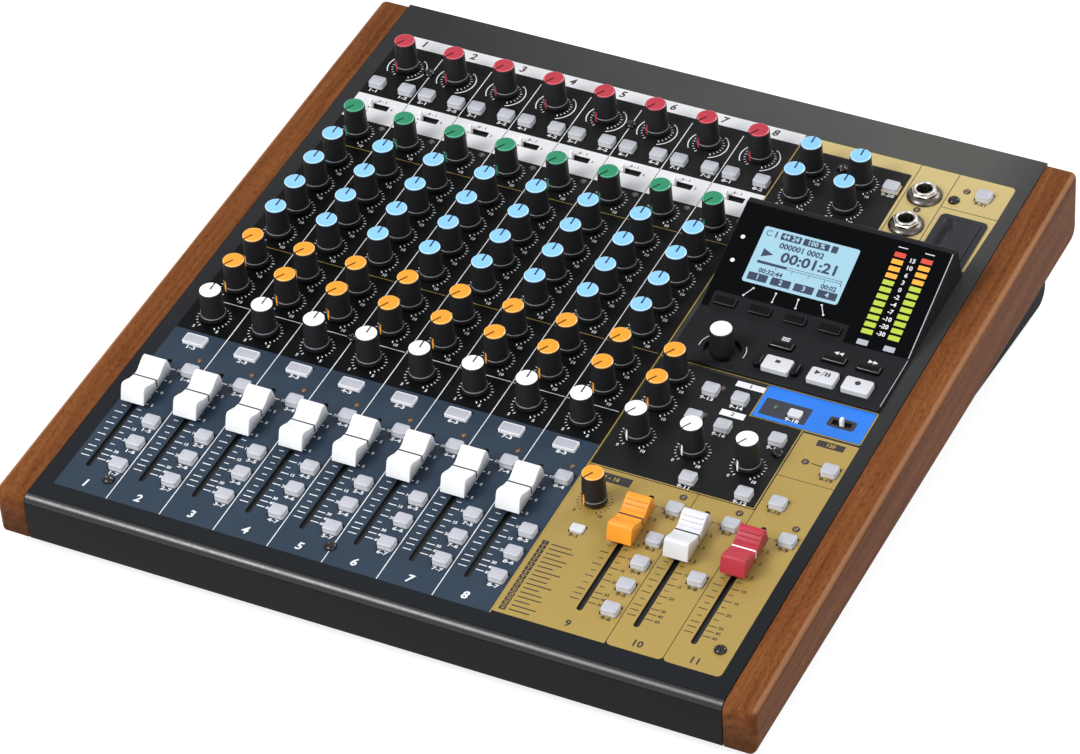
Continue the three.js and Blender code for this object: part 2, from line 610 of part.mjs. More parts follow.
function panelHoles() {
  const through = [-SHEET - OVERRUN, OVERRUN];
  const spindles = movingKnobPlaces.map((place) => {
    return post(place, through, (SPINDLE_RADIUS + FIT) / Math.cos(Math.PI / HOLE_SIDES), HOLE_SIDES);
  });
  const slots = FADER_STRIPS.map((strip) => {
    return slotTool(stripLeft(strip) + FADER_COLUMN, 0, SLOT_LENGTH, SLOT_WIDTH);
  });
  const keys = CHANNEL_BUTTONS.map(([, column, row, key]) => {
    const x = stripLeft(0) + column;
    return block(around(x, key.size[0] + 2 * FIT), around(row, key.size[1] + 2 * FIT), through);
  });
  const mode = block(
    around(stripLeft(0) + MODE_COLUMN, SWITCH_SLOT),
    around(MODE_ROW, SWITCH_SLOT_WIDTH),
    through,
  );
  const phones = PHONES_ROWS.map((row) => {
    return post([PHONES_X, row], through, JACK_COLLAR + FIT, SPINDLE_SIDES);
  });
  const edge = WINDOW_BORDER + BAY_FLANGE;
  const shelf = block(
    [HOUSING_X + edge, HOUSING_X + HOUSING_WIDTH - edge],
    [HOUSING_FRONT_ROW + edge, SHELF_OPENING_ROW],
    through,
  );
  const bay = block(
    [masterX(BAY_LEFT) - FIT, masterX(BAY_RIGHT) + FIT],
    [HOUSING_REAR_ROW, BAY_REAR_ROW + FIT],
    through,
  );
  return [...spindles, ...slots, ...keys, mode, ...phones, shelf, bay];
}

function fixedMode(strip) {
  const lever = around(stripLeft(strip) + MODE_COLUMN - SWITCH_SLOT / 4, SWITCH_LEVER);
  return block(lever, around(MODE_ROW, SWITCH_LEVER_WIDTH), [-SHEET / 2, SWITCH_HEIGHT]);
}

function topPanel() {
  const outer = [[FRONT, -RAIL_HEIGHT], ...ridge(0), [REAR, 0]];
  const inner = [[REAR, -SHEET], ...ridge(SHEET).reverse(), [FRONT + SHEET, -RAIL_HEIGHT]];
  const half = HALF_WIDTH - FIT;
  const sheet = prismAcross([...outer, ...inner].reverse(), [-half, half]);
  const controls = [];
  for (let strip = 1; strip < CHANNEL_COUNT; strip += 1) {
    channelKnobPlaces(strip).forEach((place) => controls.push(fixedKnob(place)));
    CHANNEL_BUTTONS.forEach(([, column, row, key]) => {
      controls.push(fixedButton(stripLeft(strip) + column, row, key));
    });
    controls.push(fixedMode(strip));
  }
  MASTER_BUTTONS.forEach(([strip, column, row, key]) => {
    controls.push(fixedButton(stripLeft(strip) + column, row, key));
  });
  const assign = around(stripLeft(MAIN_STRIP) + ASSIGN_COLUMN, SWITCH_LEVER);
  const assignRows = around(HOUSING_FRONT_ROW - ASSIGN_STEP, SWITCH_LEVER_WIDTH);
  controls.push(block(assign, assignRows, [-SHEET / 2, SWITCH_HEIGHT]));
  addPart("top_panel", joined([cut(sheet, panelHoles()), ...controls]), "panel");
}

// Control board with its potentiometers, fader bodies and key switches
function controlBoard() {
  const top = -BOARD_DEPTH;
  const half = HALF_WIDTH - SHEET - BOARD_SIDE_GAP;
  const thickness = [top - BOARD_THICKNESS, top];
  const full = block([-half, half], [FRONT + BOARD_FRONT_GAP, BOARD_REAR_ROW], thickness);
  const notchRows = [HOUSING_REAR_ROW - BOARD_NOTCH_STEP, BOARD_REAR_ROW + OVERRUN];
  const notchLeft = PHONES_X - (JACK_BODY + SHEET) / 2 - BOARD_NOTCH_GAP;
  const notch = block([notchLeft, half + OVERRUN], notchRows, [thickness[0] - OVERRUN, 0]);
  const plate = full.subtract(notch);
  const into = [top - BOARD_THICKNESS / 2, UNDER_SHEET];
  const pots = [...movingKnobPlaces, jogPlace].flatMap(([x, y], i) => {
    const height = i < movingKnobPlaces.length ? KNOB_HEIGHT : JOG_HEIGHT;
    const reach = height * SPINDLE_DEPTH_SHARE;
    return [
      block(around(x, POT_WIDTH), around(y, POT_WIDTH), into),
      post([x, y], [UNDER_SHEET - OVERRUN, reach], SPINDLE_RADIUS, SPINDLE_SIDES),
    ];
  });
  const faders = FADER_STRIPS.map((strip) => {
    const x = stripLeft(strip) + FADER_COLUMN;
    const rows = [-FADER_BODY_END, SLOT_LENGTH + FADER_BODY_END];
    const track = block(around(x, SLOT_WIDTH), [0, SLOT_LENGTH], [-STEM_DEPTH - FIT, 0]);
    return block(around(x, FADER_BODY_WIDTH), rows, into).subtract(track);
  });
  const switchTop = -BUTTON_SKIRT - PRESS_TRAVEL - FIT;
  const under = (x, y) => {
    const size = BUTTON_DEPTH;
    return block(around(x, size), around(y, size), [into[0], switchTop]);
  };
  const channelSwitches = CHANNEL_BUTTONS.map(([, column, row]) => under(stripLeft(0) + column, row));
  const keySwitches = TRANSPORT_KEYS.map(([, column, row]) => {
    const x = masterX(column);
    return block(around(x, BUTTON_DEPTH), around(row, SMALL_KEY_DEPTH), [into[0], switchTop]);
  });
  const mode = under(stripLeft(0) + MODE_COLUMN, MODE_ROW);
  const pieces = [plate, ...pots, ...faders, ...channelSwitches, ...keySwitches, mode];
  addPart("control_board", joined(pieces), "board");
}

// Faders: a stem through the slot and a saddle-shaped cap with a cursor groove
function faderCap(x) {
  const y = FADER_REST;
  const half = CAP_LENGTH / 2;
  const groove = CAP_GROOVE / 2;
  const side = [
    [y - half, CAP_LIFT],
    [y + half, CAP_LIFT],
    [y + half, CAP_LIFT + CAP_WALL],
    [y + half - CAP_WALL, CAP_REAR_HEIGHT],
    [y + half / 2, (CAP_REAR_HEIGHT + CAP_VALLEY_HEIGHT) / 2],
    [y + CAP_GROOVE, CAP_VALLEY_HEIGHT],
    [y + groove, CAP_VALLEY_HEIGHT - CAP_GROOVE],
    [y - groove, CAP_VALLEY_HEIGHT - CAP_GROOVE],
    [y - CAP_GROOVE, CAP_VALLEY_HEIGHT],
    [y - half / 2, (CAP_FRONT_HEIGHT + CAP_VALLEY_HEIGHT) / 2],
    [y - half + CAP_WALL, CAP_FRONT_HEIGHT],
  ];
  const base = CAP_WIDTH / 2;
  const crown = CAP_TOP_WIDTH / 2;
  const front = [
    [x - base, CAP_LIFT - OVERRUN],
    [x + base, CAP_LIFT - OVERRUN],
    [x + crown, CAP_REAR_HEIGHT + OVERRUN],
    [x - crown, CAP_REAR_HEIGHT + OVERRUN],
  ];
  const width = [x - base - OVERRUN, x + base + OVERRUN];
  const length = [y - half - OVERRUN, y + half + OVERRUN];
  return prismAcross(side, width).intersect(prismAlong(front, length));
}

function faders() {
  FADER_NAMES.forEach((name, i) => {
    const x = stripLeft(FADER_STRIPS[i]) + FADER_COLUMN;
    const rows = around(FADER_REST, STEM_LENGTH);
    const stem = block(around(x, STEM_WIDTH), rows, [-STEM_DEPTH, CAP_LIFT + OVERRUN]);
    const finish = { effect_fader: "orange", main_fader: "red" }[name] ?? "white";
    addPart(name, faderCap(x).add(stem), finish);
  });
}

// Channel 1, which moves in full, and the master knobs
function movingKnobs() {
  const x = stripLeft(0) + KNOB_COLUMN;
  CHANNEL_KNOBS.forEach(([name, row, pointer, finish]) => {
    addPart(`channel_1_${name}_knob`, knob([x, row], KNOB_HEIGHT, pointer), finish);
  });
  MASTER_KNOBS.forEach(([name, strip, column, row, pointer, finish]) => {
    addPart(name, knob([stripLeft(strip) + column, row], KNOB_HEIGHT, pointer), finish);
  });
  addPart("jog_dial", knob(jogPlace, JOG_HEIGHT, 0), "white");
}

function movingButtons() {
  CHANNEL_BUTTONS.forEach(([name, column, row, key]) => {
    const edge = Math.min(BUTTON_EDGE, key.height / 2);
    const shape = keycap([stripLeft(0) + column, row], key.size, [-BUTTON_SKIRT, key.height], edge);
    addPart(`channel_1_${name}_button`, shape, "key");
  });
  TRANSPORT_KEYS.forEach(([name, column, row, wide]) => {
    const size = wide ? [WIDE_KEY_WIDTH, WIDE_KEY_DEPTH] : [SMALL_KEY_WIDTH, SMALL_KEY_DEPTH];
    const height = wide ? WIDE_KEY_HEIGHT : SMALL_KEY_HEIGHT;
    const shape = keycap([masterX(column), row], size, [-BUTTON_SKIRT, height], KEY_EDGE);
    addPart(name, shape, wide ? "white" : "black");
  });
  const lever = around(stripLeft(0) + MODE_COLUMN - SWITCH_SLOT / 4, SWITCH_LEVER);
  const rows = around(MODE_ROW, SWITCH_LEVER_WIDTH);
  addPart("channel_1_mode_switch", block(lever, rows, [-BUTTON_SKIRT, SWITCH_HEIGHT]), "white");
}

// Display moulding: a thin shelf for the keys, a raised wedge for the screen and the card bay behind it
function onScreen(shape) {
  const turned = shape.rotate([THREE.MathUtils.radToDeg(SCREEN_ANGLE), 0, 0]);
  return turned.translate([0, HOUSING_KINK_ROW, HOUSING_SHELF]);
}

function windowOutline(gap) {
  const left = HOUSING_X + WINDOW_BORDER - gap;
  const right = HOUSING_X + HOUSING_WIDTH - WINDOW_BORDER + gap;
  const tabLeft = HOUSING_X + WINDOW_TAB_LEFT + gap;
  const tabRight = HOUSING_X + WINDOW_TAB_LEFT + WINDOW_TAB_WIDTH - gap;
  const low = WINDOW_BORDER - gap;
  const high = SCREEN_LENGTH - WINDOW_BORDER + gap;
  const tab = WINDOW_TAB_HEIGHT - gap;
  return [[left, low], [tabLeft, low], [tabLeft, tab], [tabRight, tab], [tabRight, low], [right, low],
    [right, high], [left, high]];
}

function windowPlate(gap, [from, to]) {
  const settings = { depth: to - from, bevelEnabled: false };
  const slab = new THREE.ExtrudeGeometry(shapeOf(windowOutline(gap)), settings);
  return onScreen(solid(slab.translate(0, 0, from)));
}

function displayWindow() {
  addPart("display_window", windowPlate(0, [-WINDOW_THICKNESS, 0]), "glass");
}

function cardBay() {
  const left = masterX(BAY_LEFT);
  const right = masterX(BAY_RIGHT);
  const scoopRight = left + BAY_WALL + SCOOP_WIDTH;
  const doorRows = [HOUSING_REAR_ROW + BAY_WALL, BAY_REAR_ROW - BAY_WALL];
  const rim = block(
    [left - BAY_FLANGE, right + BAY_FLANGE],
    [HOUSING_REAR_ROW - BAY_FLANGE, BAY_REAR_ROW + BAY_FLANGE],
    [FIT, BAY_RIM],
  );
  const trayRows = [HOUSING_REAR_ROW + FIT, BAY_REAR_ROW];
  const tray = block([left, right], trayRows, [-BAY_DEPTH - BAY_WALL, BAY_RIM]);
  const pocket = block([scoopRight, right - BAY_WALL], doorRows, [-BAY_DEPTH, BAY_RIM + OVERRUN]);
  const scoopColumns = [left + BAY_WALL, scoopRight + OVERRUN];
  const scoop = block(scoopColumns, doorRows, [-BAY_DEPTH + BAY_WALL, BAY_RIM + OVERRUN]);
  const middle = (scoopRight + right) / 2;
  const socketRow = (HOUSING_REAR_ROW + BAY_REAR_ROW) / 2;
  const socketTop = -BAY_DEPTH;
  const socket = block(
    around(middle, CARD_SLOT_WIDTH + 2 * CARD_SOCKET_WALL),
    around(socketRow, CARD_WIDTH + 2 * CARD_SOCKET_WALL),
    [socketTop - CARD_SOCKET_DEPTH, socketTop - BAY_WALL / 2],
  );
  const slot = block(
    around(middle, CARD_SLOT_WIDTH),
    around(socketRow, CARD_WIDTH),
    [socketTop - CARD_SOCKET_DEPTH + BAY_WALL, socketTop + OVERRUN],
  );
  return { body: [rim, tray, socket], hollows: [pocket, scoop, slot] };
}

function displayHousing() {
  const outline = [
    [HOUSING_FRONT_ROW, FIT],
    [HOUSING_REAR_ROW, FIT],
    [HOUSING_CREST_ROW, HOUSING_HEIGHT - SHEET],
    [HOUSING_TOP_ROW + SHEET, HOUSING_HEIGHT],
    [HOUSING_TOP_ROW, HOUSING_HEIGHT],
    [HOUSING_KINK_ROW, HOUSING_SHELF],
    [HOUSING_FRONT_ROW, HOUSING_SHELF],
  ];
  const wedge = prismAcross(outline, [HOUSING_X, HOUSING_X + HOUSING_WIDTH]);
  const glassPocket = windowPlate(FIT, [-WINDOW_THICKNESS - FIT, HOUSING_HEIGHT]);
  const through = [0, HOUSING_SHELF + OVERRUN];
  const well = post(jogPlace, through, JOG_WELL_RADIUS, 2 * SPINDLE_SIDES);
  const keyHoles = TRANSPORT_KEYS.map(([, column, row, wide]) => {
    const size = wide ? [WIDE_KEY_WIDTH, WIDE_KEY_DEPTH] : [SMALL_KEY_WIDTH, SMALL_KEY_DEPTH];
    const x = masterX(column);
    return block(around(x, size[0] + 2 * FIT), around(row, size[1] + 2 * FIT), through);
  });
  const softKeys = [0, 1, 2, 3].map((i) => {
    const x = masterX(SOFT_KEY_FIRST + i * SOFT_KEY_PITCH);
    const size = [SOFT_KEY_WIDTH, SOFT_KEY_DEPTH];
    return onScreen(keycap([x, SOFT_KEY_RISE], size, [-SOFT_KEY_HEIGHT, SOFT_KEY_HEIGHT], KEY_EDGE / 2));
  });
  const bay = cardBay();
  const body = joined([wedge, ...bay.body]);
  const shell = cut(body, [glassPocket, well, ...keyHoles, ...bay.hollows]);
  addPart("display_housing", joined([shell, ...softKeys]), "housing");
}

function cardDoor() {
  const radius = DOOR_THICKNESS / 2;
  const left = masterX(BAY_LEFT) + BAY_WALL + SCOOP_WIDTH + FIT;
  const centre = [DOOR_AXIS_X, DOOR_AXIS_Z];
  const outline = [
    [left, DOOR_AXIS_Z + radius],
    [left, DOOR_AXIS_Z - radius],
    ...arc(centre, radius, -Math.PI / 2, Math.PI / 2, 4),
  ];
  const gap = BAY_WALL + FIT;
  addPart("card_slot_door", prismAlong(outline, [HOUSING_REAR_ROW + gap, BAY_REAR_ROW - gap]), "housing");
}

// Headphone sockets on their own small board, with their nuts on the panel
function phonesBoard() {
  const x = PHONES_X;
  const top = -JACK_DEPTH - SHEET;
  const rows = [PHONES_ROWS[0] - PHONES_BOARD_MARGIN, PHONES_ROWS[1] + PHONES_BOARD_MARGIN];
  const board = block(around(x, JACK_BODY + SHEET), rows, [top - BOARD_THICKNESS, top]);
  const sockets = PHONES_ROWS.map((row) => {
    const depths = [top - BOARD_THICKNESS / 2, UNDER_SHEET];
    const body = block(around(x, JACK_BODY), around(row, JACK_BODY), depths);
    const reach = [UNDER_SHEET - OVERRUN, NUT_HEIGHT + SHEET];
    const barrel = post([x, row], reach, JACK_COLLAR - SHEET / 2, KNOB_SIDES);
    const nut = post([x, row], [FIT, NUT_HEIGHT], NUT_RADIUS, HOLE_SIDES);
    return joined([body, barrel, nut]);
  });
  const bores = PHONES_ROWS.map((row) => {
    return post([x, row], [top + SOCKET_FLOOR, NUT_HEIGHT + SHEET + OVERRUN], JACK_BORE, SPINDLE_SIDES);
  });
  addPart("phones_jack_board", cut(joined([board, ...sockets]), bores), "plated");
}

// Rear panel: a plate with its sockets behind it
const COMBO_COLUMNS = [0, 1, 2, 3, 4, 5];
const JACKS = [[0, 1], [1, 1], [2, 1], [6, 0], [6, 1], [7, 0], [7, 1], [8, 0], [8, 1], [9, 1], [10, 1]];
const OUTPUT_COLUMNS = [9, 10];
const USB_COLUMN = 3;
const POWER_COLUMN = 4;
const ROCKER_COLUMN = 5;
const MIDDLE_COLUMN = 5;

function socketPlace(column, upper) {
  return [CONNECTOR_PITCH * (column - MIDDLE_COLUMN), upper ? UPPER_SOCKET_ROW : LOWER_SOCKET_ROW];
}

function largeSocket(column) {
  const [x, z] = socketPlace(column, false);
  const rows = [REAR - SHEET - LARGE_DEPTH, REAR - SHEET / 2];
  const body = block(around(x, LARGE_BODY), rows, around(z, LARGE_BODY));
  const bore = drum([x, z], [rows[0] + SOCKET_FLOOR, REAR + OVERRUN], LARGE_BORE, KNOB_SIDES);
  return { body: [body], hollow: bore };
}

function jackSocket([x, z]) {
  const rows = [REAR - SHEET - JACK_DEPTH, REAR - SHEET / 2];
  const body = block(around(x, JACK_BODY), rows, around(z, JACK_BODY));
  const collar = drum([x, z], [REAR - SHEET / 2, REAR + JACK_COLLAR_HEIGHT], JACK_COLLAR, SPINDLE_SIDES);
  const end = REAR + JACK_COLLAR_HEIGHT + OVERRUN;
  const bore = drum([x, z], [rows[0] + SOCKET_FLOOR, end], JACK_BORE, SPINDLE_SIDES);
  return { body: [body, collar], hollow: bore };
}

function usbSocket() {
  const [x, z] = socketPlace(USB_COLUMN, true);
  const rows = [REAR - SHEET - JACK_DEPTH, REAR - SHEET / 2];
  const body = block(around(x, JACK_BODY), rows, around(z, JACK_BODY));
  const depths = [rows[0] + SOCKET_FLOOR, REAR + OVERRUN];
  const hollow = block(around(x, USB_WIDTH), depths, around(z, USB_HEIGHT));
  return { body: [body], hollow };
}

function rearPanel() {
  const half = HALF_WIDTH - FIT;
  const plate = block([-half, half], [REAR - SHEET, REAR], [HEEL_TOP + FIT, UNDER_SHEET]);
  const sockets = [
    ...[...COMBO_COLUMNS, ...OUTPUT_COLUMNS].map(largeSocket),
    ...JACKS.map(([column, upper]) => jackSocket(socketPlace(column, upper))),
    jackSocket(socketPlace(POWER_COLUMN, true)),
    usbSocket(),
  ];
  const [x, z] = socketPlace(ROCKER_COLUMN, true);
  const rocker = block(
    around(x, ROCKER_WIDTH + 2 * FIT),
    [REAR - SHEET - OVERRUN, REAR + OVERRUN],
    around(z, ROCKER_HEIGHT + 2 * OVERRUN),
  );
  const body = joined([plate, ...sockets.flatMap((socket) => socket.body)]);
  addPart("rear_panel", cut(body, [...sockets.map((socket) => socket.hollow), rocker]), "steel");
}

// Power rocker: a round-bellied rocker that tips about its middle
function powerRocker() {
  const [x, z] = socketPlace(ROCKER_COLUMN, true);
  const half = ROCKER_HEIGHT / 2;
  const face = [[ROCKER_PROUD, -half], [ROCKER_PROUD / 2, 0], [ROCKER_PROUD, half]];
  const outline = [...face, ...arc([0, 0], half, Math.PI / 2, (3 * Math.PI) / 2, 4)].map(([u, v]) => {
    const point = new THREE.Vector2(u, v).rotateAround(new THREE.Vector2(0, 0), ROCKER_TIP);
    return [REAR + point.x, z + point.y];
  });
  addPart("power_rocker", prismAcross(outline, around(x, ROCKER_WIDTH)), "black");
}

woodPanel("left_wood_panel", -1);
woodPanel("right_wood_panel", 1);
chassis();
feet();
topPanel();
controlBoard();
displayHousing();
displayWindow();
cardDoor();
phonesBoard();
rearPanel();
powerRocker();
faders();
movingKnobs();
movingButtons();

// The console stands on its feet, with the origin under the middle of its outline
const mixer = new THREE.Group();
mixer.add(deck);
mixer.updateMatrixWorld(true);
const extent = new THREE.Box3().setFromObject(mixer, true);
const middle = extent.getCenter(new THREE.Vector3());
deck.position.set(-middle.x, -middle.y, -extent.min.z);

export default mixer;
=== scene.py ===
import json
import math

import bpy
from mathutils import Matrix, Vector
from mathutils.geometry import tessellate_polygon

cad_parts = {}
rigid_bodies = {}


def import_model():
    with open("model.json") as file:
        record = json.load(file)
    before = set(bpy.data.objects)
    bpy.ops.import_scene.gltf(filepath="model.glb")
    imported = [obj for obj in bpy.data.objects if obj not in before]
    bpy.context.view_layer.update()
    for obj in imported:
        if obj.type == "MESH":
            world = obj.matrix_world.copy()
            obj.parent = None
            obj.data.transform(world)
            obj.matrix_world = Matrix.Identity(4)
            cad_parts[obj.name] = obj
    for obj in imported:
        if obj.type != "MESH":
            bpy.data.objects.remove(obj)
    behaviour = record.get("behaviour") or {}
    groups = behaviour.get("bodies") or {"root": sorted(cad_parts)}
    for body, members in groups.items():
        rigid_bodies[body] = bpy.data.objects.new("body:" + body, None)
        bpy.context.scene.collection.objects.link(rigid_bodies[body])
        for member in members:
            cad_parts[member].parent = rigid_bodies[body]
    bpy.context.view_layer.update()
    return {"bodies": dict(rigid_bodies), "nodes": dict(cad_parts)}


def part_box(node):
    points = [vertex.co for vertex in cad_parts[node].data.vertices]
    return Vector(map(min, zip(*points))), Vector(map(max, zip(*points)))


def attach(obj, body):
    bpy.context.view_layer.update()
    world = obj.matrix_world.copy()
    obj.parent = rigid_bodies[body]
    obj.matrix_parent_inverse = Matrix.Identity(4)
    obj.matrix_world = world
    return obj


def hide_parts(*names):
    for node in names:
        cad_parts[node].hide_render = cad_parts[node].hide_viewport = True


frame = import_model()
NODES = frame["nodes"]

# The deck's own axes, in millimetres as in the CAD: x across, y up the slope, z out of the panel
MM = 0.001
TILT = math.radians(9)
# The channel 1 slide switch in them: its front row, and the heights of its top and foot
SWITCH_ROW, SWITCH_TOP, SWITCH_FOOT = 255.7, 1.4, -4.0


def deck_origin():
    """The deck's origin in the row frame, from the lowest corners of that switch's box."""
    low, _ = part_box("channel_1_mode_switch")
    y = SWITCH_ROW * math.cos(TILT) - SWITCH_TOP * math.sin(TILT)
    z = SWITCH_ROW * math.sin(TILT) + SWITCH_FOOT * math.cos(TILT)
    return Vector((0, low.y - y * MM, low.z - z * MM))


DECK = Matrix.Translation(deck_origin()) @ Matrix.Rotation(TILT, 4, "X")
# Edges of the panel, half its width, foot of its front rail, its radius there and its thickness
FRONT, REAR, HALF, RAIL_FOOT, RIDGE, SHEET = -26.8, 330.0, 157.5, -22.7, 4, 1.5
# Strips: their pitch, the columns in each, and the rows of the knobs
PITCH = 25.0
KNOB_X, SLOT_X, KEY_X, MODE_X, ASSIGN_X = 12.8, 8.3, 20.4, 13.3, 13.5
PAN, GAIN = 101.7, 286.9
AUX2, AUX1 = PAN + 21, PAN + 39
LOW, MID, FREQ, HIGH = AUX1 + 21, AUX1 + 39, AUX1 + 57, AUX1 + 75
COMP = HIGH + 21
# The turn of a knob that points at its least mark
LEAST = math.radians(150)
# A fader's slot and its place at rest, a key's foot and gap, and the rows of the slide switches
SLOT_END, SLOT_WIDTH, FADER_REST = 71.3, 2.4, 50.5
KEY_FOOT, KEY_GAP = -3.9, 0.3
MODE_ROW, ASSIGN_ROW = 256.8, 139.9
# The height of print over the panel
PRINT = 0.06


def left(strip):
    return PITCH * (strip - 6)


def spot(strip, column, row):
    return left(strip) + column, row, 0


# Finishes

PURE = (255, 255, 255)


def linear(rgb):
    return (*(((c / 255 + 0.055) / 1.055) ** 2.4 if c > 10 else c / 255 / 12.92 for c in rgb), 1.0)


def grey(level):
    return (level,) * 3


class Nodes:
    """The node tree of a new material or world, with short calls for what the finishes share."""

    def __init__(self, data):
        self.data = data
        data.use_nodes = True
        self.tree = data.node_tree

    def assign(self, n, **values):
        """Gives a node its values: an input's constant, a socket to link to it, or a property."""
        for key, value in values.items():
            name = key.replace("_", " ")
            if name not in n.inputs:
                setattr(n, key, value)
            elif isinstance(value, bpy.types.NodeSocket):
                self.tree.links.new(value, n.inputs[name])
            else:
                n.inputs[name].default_value = value
        return n

    def node(self, kind, **values):
        return self.assign(self.tree.nodes.new("ShaderNode" + kind), **values)

    def pair(self, kind, a, b, first=0, **values):
        """A node whose two inputs, from the first on, share one name."""
        n = self.node(kind, **values)
        for i, socket in enumerate((a, b)):
            self.tree.links.new(socket, n.inputs[first + i])
        return n.outputs[0]

    def coord(self):
        return self.node("TexCoord").outputs["Object"]

    def axes(self):
        return self.node("SeparateXYZ", Vector=self.coord()).outputs

    def noise(self, scale, detail=2.0, stretch=(1, 1, 1), rough=0.5):
        place = self.node("Mapping", Scale=stretch, Vector=self.coord()).outputs["Vector"]
        n = self.node("TexNoise", Scale=scale, Detail=detail, Roughness=rough, Vector=place)
        return n.outputs["Fac"]

    def ramp(self, fac, *stops):
        r = self.node("ValToRGB", Fac=fac)
        while len(r.color_ramp.elements) < len(stops):
            r.color_ramp.elements.new(0.5)
        for e, (at, rgb) in zip(r.color_ramp.elements, stops):
            e.position = at
            e.color = linear(rgb)
        return r.outputs["Color"]

    def tones(self, fac, rgb, spread):
        """A colour from a little darker to a little lighter than rgb."""
        dark, light = ([min(255, c * (1 + k)) for c in rgb] for k in (-spread, spread))
        return self.ramp(fac, (0.3, dark), (0.7, light))

    def span(self, fac, start, end, low=0.0, high=1.0):
        """The value's place between start and end, drawn out to low and high."""
        return self.node(
            "MapRange", Value=fac, From_Min=start, From_Max=end, To_Min=low, To_Max=high
        ).outputs["Result"]

    def mix(self, kind, fac, a, b):
        return self.node("MixRGB", blend_type=kind, Fac=fac, Color1=a, Color2=b).outputs["Color"]

    def product(self, a, b):
        return self.pair("Math", a, b, operation="MULTIPLY")

    def finish(self, colour, fine, rough, bump, spread=0.05, distance=0.0004, **more):
        """Ends a material: its colour, and a gloss and a bump that follow one fine noise."""
        if bump:
            lift = self.node("Bump", Strength=bump, Distance=distance, Height=fine)
            more["Normal"] = lift.outputs["Normal"]
        gloss = self.span(fine, 0.25, 0.75, rough - spread, rough + spread)
        self.assign(self.tree.nodes["Principled BSDF"], Base_Color=colour, Roughness=gloss, **more)
        return self.data

    def where_seen(self, lit, seen):
        """The seen shader for rays from the camera, off polish or through glass, or the lit one."""
        path = self.node("LightPath").outputs
        fac = path["Is Camera Ray"]
        for key in ("Is Glossy Ray", "Is Transmission Ray"):
            fac = self.pair("Math", fac, path[key], operation="MAXIMUM")
        return self.pair("MixShader", lit, seen, 1, Fac=fac)


def new_material(name):
    return Nodes(bpy.data.materials.new(name))


def plain(
    name, rgb, rough=0.45, bump=0.12, spec=0.5, ior=1.5, metal=0.0, mottle=0.05, grain=900.0, **more
):
    """Painted metal or moulded plastic: a slight mottle, and a fine grain in gloss and surface."""
    n = new_material(name)
    colour = n.tones(n.noise(35.0, 4.0), rgb, mottle)
    more.update(Metallic=metal, Specular_IOR_Level=spec, IOR=ior)
    return n.finish(colour, n.noise(grain), rough, bump, **more)


def gold_paint(name):
    """Satin gold with a painted sheen: paler up the slope, where more light falls on it."""
    n = new_material(name)
    tone = n.ramp(n.span(n.axes()["Y"], 0.12, 0.32), (0.0, (168, 142, 74)), (1.0, (200, 180, 122)))
    mottle = n.ramp(n.noise(14.0, 3.0), (0.3, (244, 244, 243)), (0.7, PURE))
    return n.finish(n.mix("MULTIPLY", 1.0, tone, mottle), n.noise(2200.0), 0.41, 0.08, Metallic=0.3)


def wood(name):
    """Oiled walnut: long grain along y, short dark pores, a satin coat and a painted highlight on
    the outer top edge.
    """
    n = new_material(name)
    still = n.node("Mapping", Scale=(1, 0.3, 1), Vector=n.coord()).outputs["Vector"]
    warp = n.node("TexNoise", Scale=7.0, Detail=3.0, Vector=still).outputs["Color"]
    bent = n.mix("LINEAR_LIGHT", 0.018, n.coord(), warp)
    drawn = n.node("Mapping", Scale=(170, 4.5, 170), Vector=bent).outputs["Vector"]
    grain = n.node("TexNoise", Scale=1.6, Detail=8.0, Roughness=0.66, Vector=drawn).outputs["Fac"]
    browns = ((0.28, (88, 49, 25)), (0.45, (116, 69, 38)))
    browns += ((0.58, (130, 79, 45)), (0.74, (150, 96, 60)))
    pores = n.noise(1.0, 3.0, (4600, 260, 4600), 0.6)
    dark = n.ramp(pores, (0.34, (118, 88, 66)), (0.5, PURE))
    tone = n.mix("MULTIPLY", 0.75, n.ramp(grain, *browns), dark)
    # Painted highlight: a paler band along the rounded outer top edge, where light would catch it.
    axes = n.axes()
    across = n.node("Math", operation="ABSOLUTE", Value=axes["X"]).outputs["Value"]
    corner = n.product(n.span(across, 0.1685, 0.1715), n.span(axes["Z"], -0.003, 0.0))
    painted_edge_sheen = n.mix("SCREEN", n.span(corner, 0.2, 0.6, 0.0, 0.6), tone, linear((200, 150, 114)))
    return n.finish(painted_edge_sheen, pores, 0.39, 0.2, -0.05, 0.0003, Specular_IOR_Level=0.12, IOR=1.16)


def glow(name, rgb, strength, rough=0.3):
    """A lit screen or lamp."""
    n = new_material(name)
    fine = n.noise(1800.0)
    colour = n.tones(fine, rgb, 0.02)
    return n.finish(colour, fine, rough, 0, 0.03, Emission_Color=colour, Emission_Strength=strength)


def rear_fade(name, front, back, spec=0.2):
    """Panel paint with painted sheen and shade: lighter towards the rear and the right, and darker
    again at the right edge by the wood.
    """
    n = new_material(name)
    axes = n.axes()
    sheen_mask = n.product(n.span(axes["Y"], 0.04, 0.33), n.span(axes["X"], -0.14, 0.1, 0.2, 1.0))
    sheen_mask = n.product(sheen_mask, n.span(axes["X"], 0.13, 0.157, 1.0, 0.55))
    tone = n.ramp(sheen_mask, (0.0, front), (1.0, back))
    mottle = n.ramp(n.noise(30.0, 4.0), (0.3, grey(240)), (0.7, PURE))
    colour = n.mix("MULTIPLY", 1.0, tone, mottle)
    return n.finish(colour, n.noise(1300.0), 0.42, 0.1, Specular_IOR_Level=spec, IOR=1.35)


def key_plastic(name):
    """Milky key plastic with painted light: lighter towards its foot and darker at its top, for
    light that comes through it.
    """
    n = new_material(name)
    height = n.span(n.axes()["Z"], 0.0, 0.003)
    colour = n.ramp(height, (0.1, (220, 221, 224)), (0.9, (178, 180, 188)))
    milk = {"Subsurface_Weight": 0.15, "Subsurface_Radius": grey(0.003)}
    return n.finish(colour, n.noise(900.0), 0.35, 0.05, **milk)


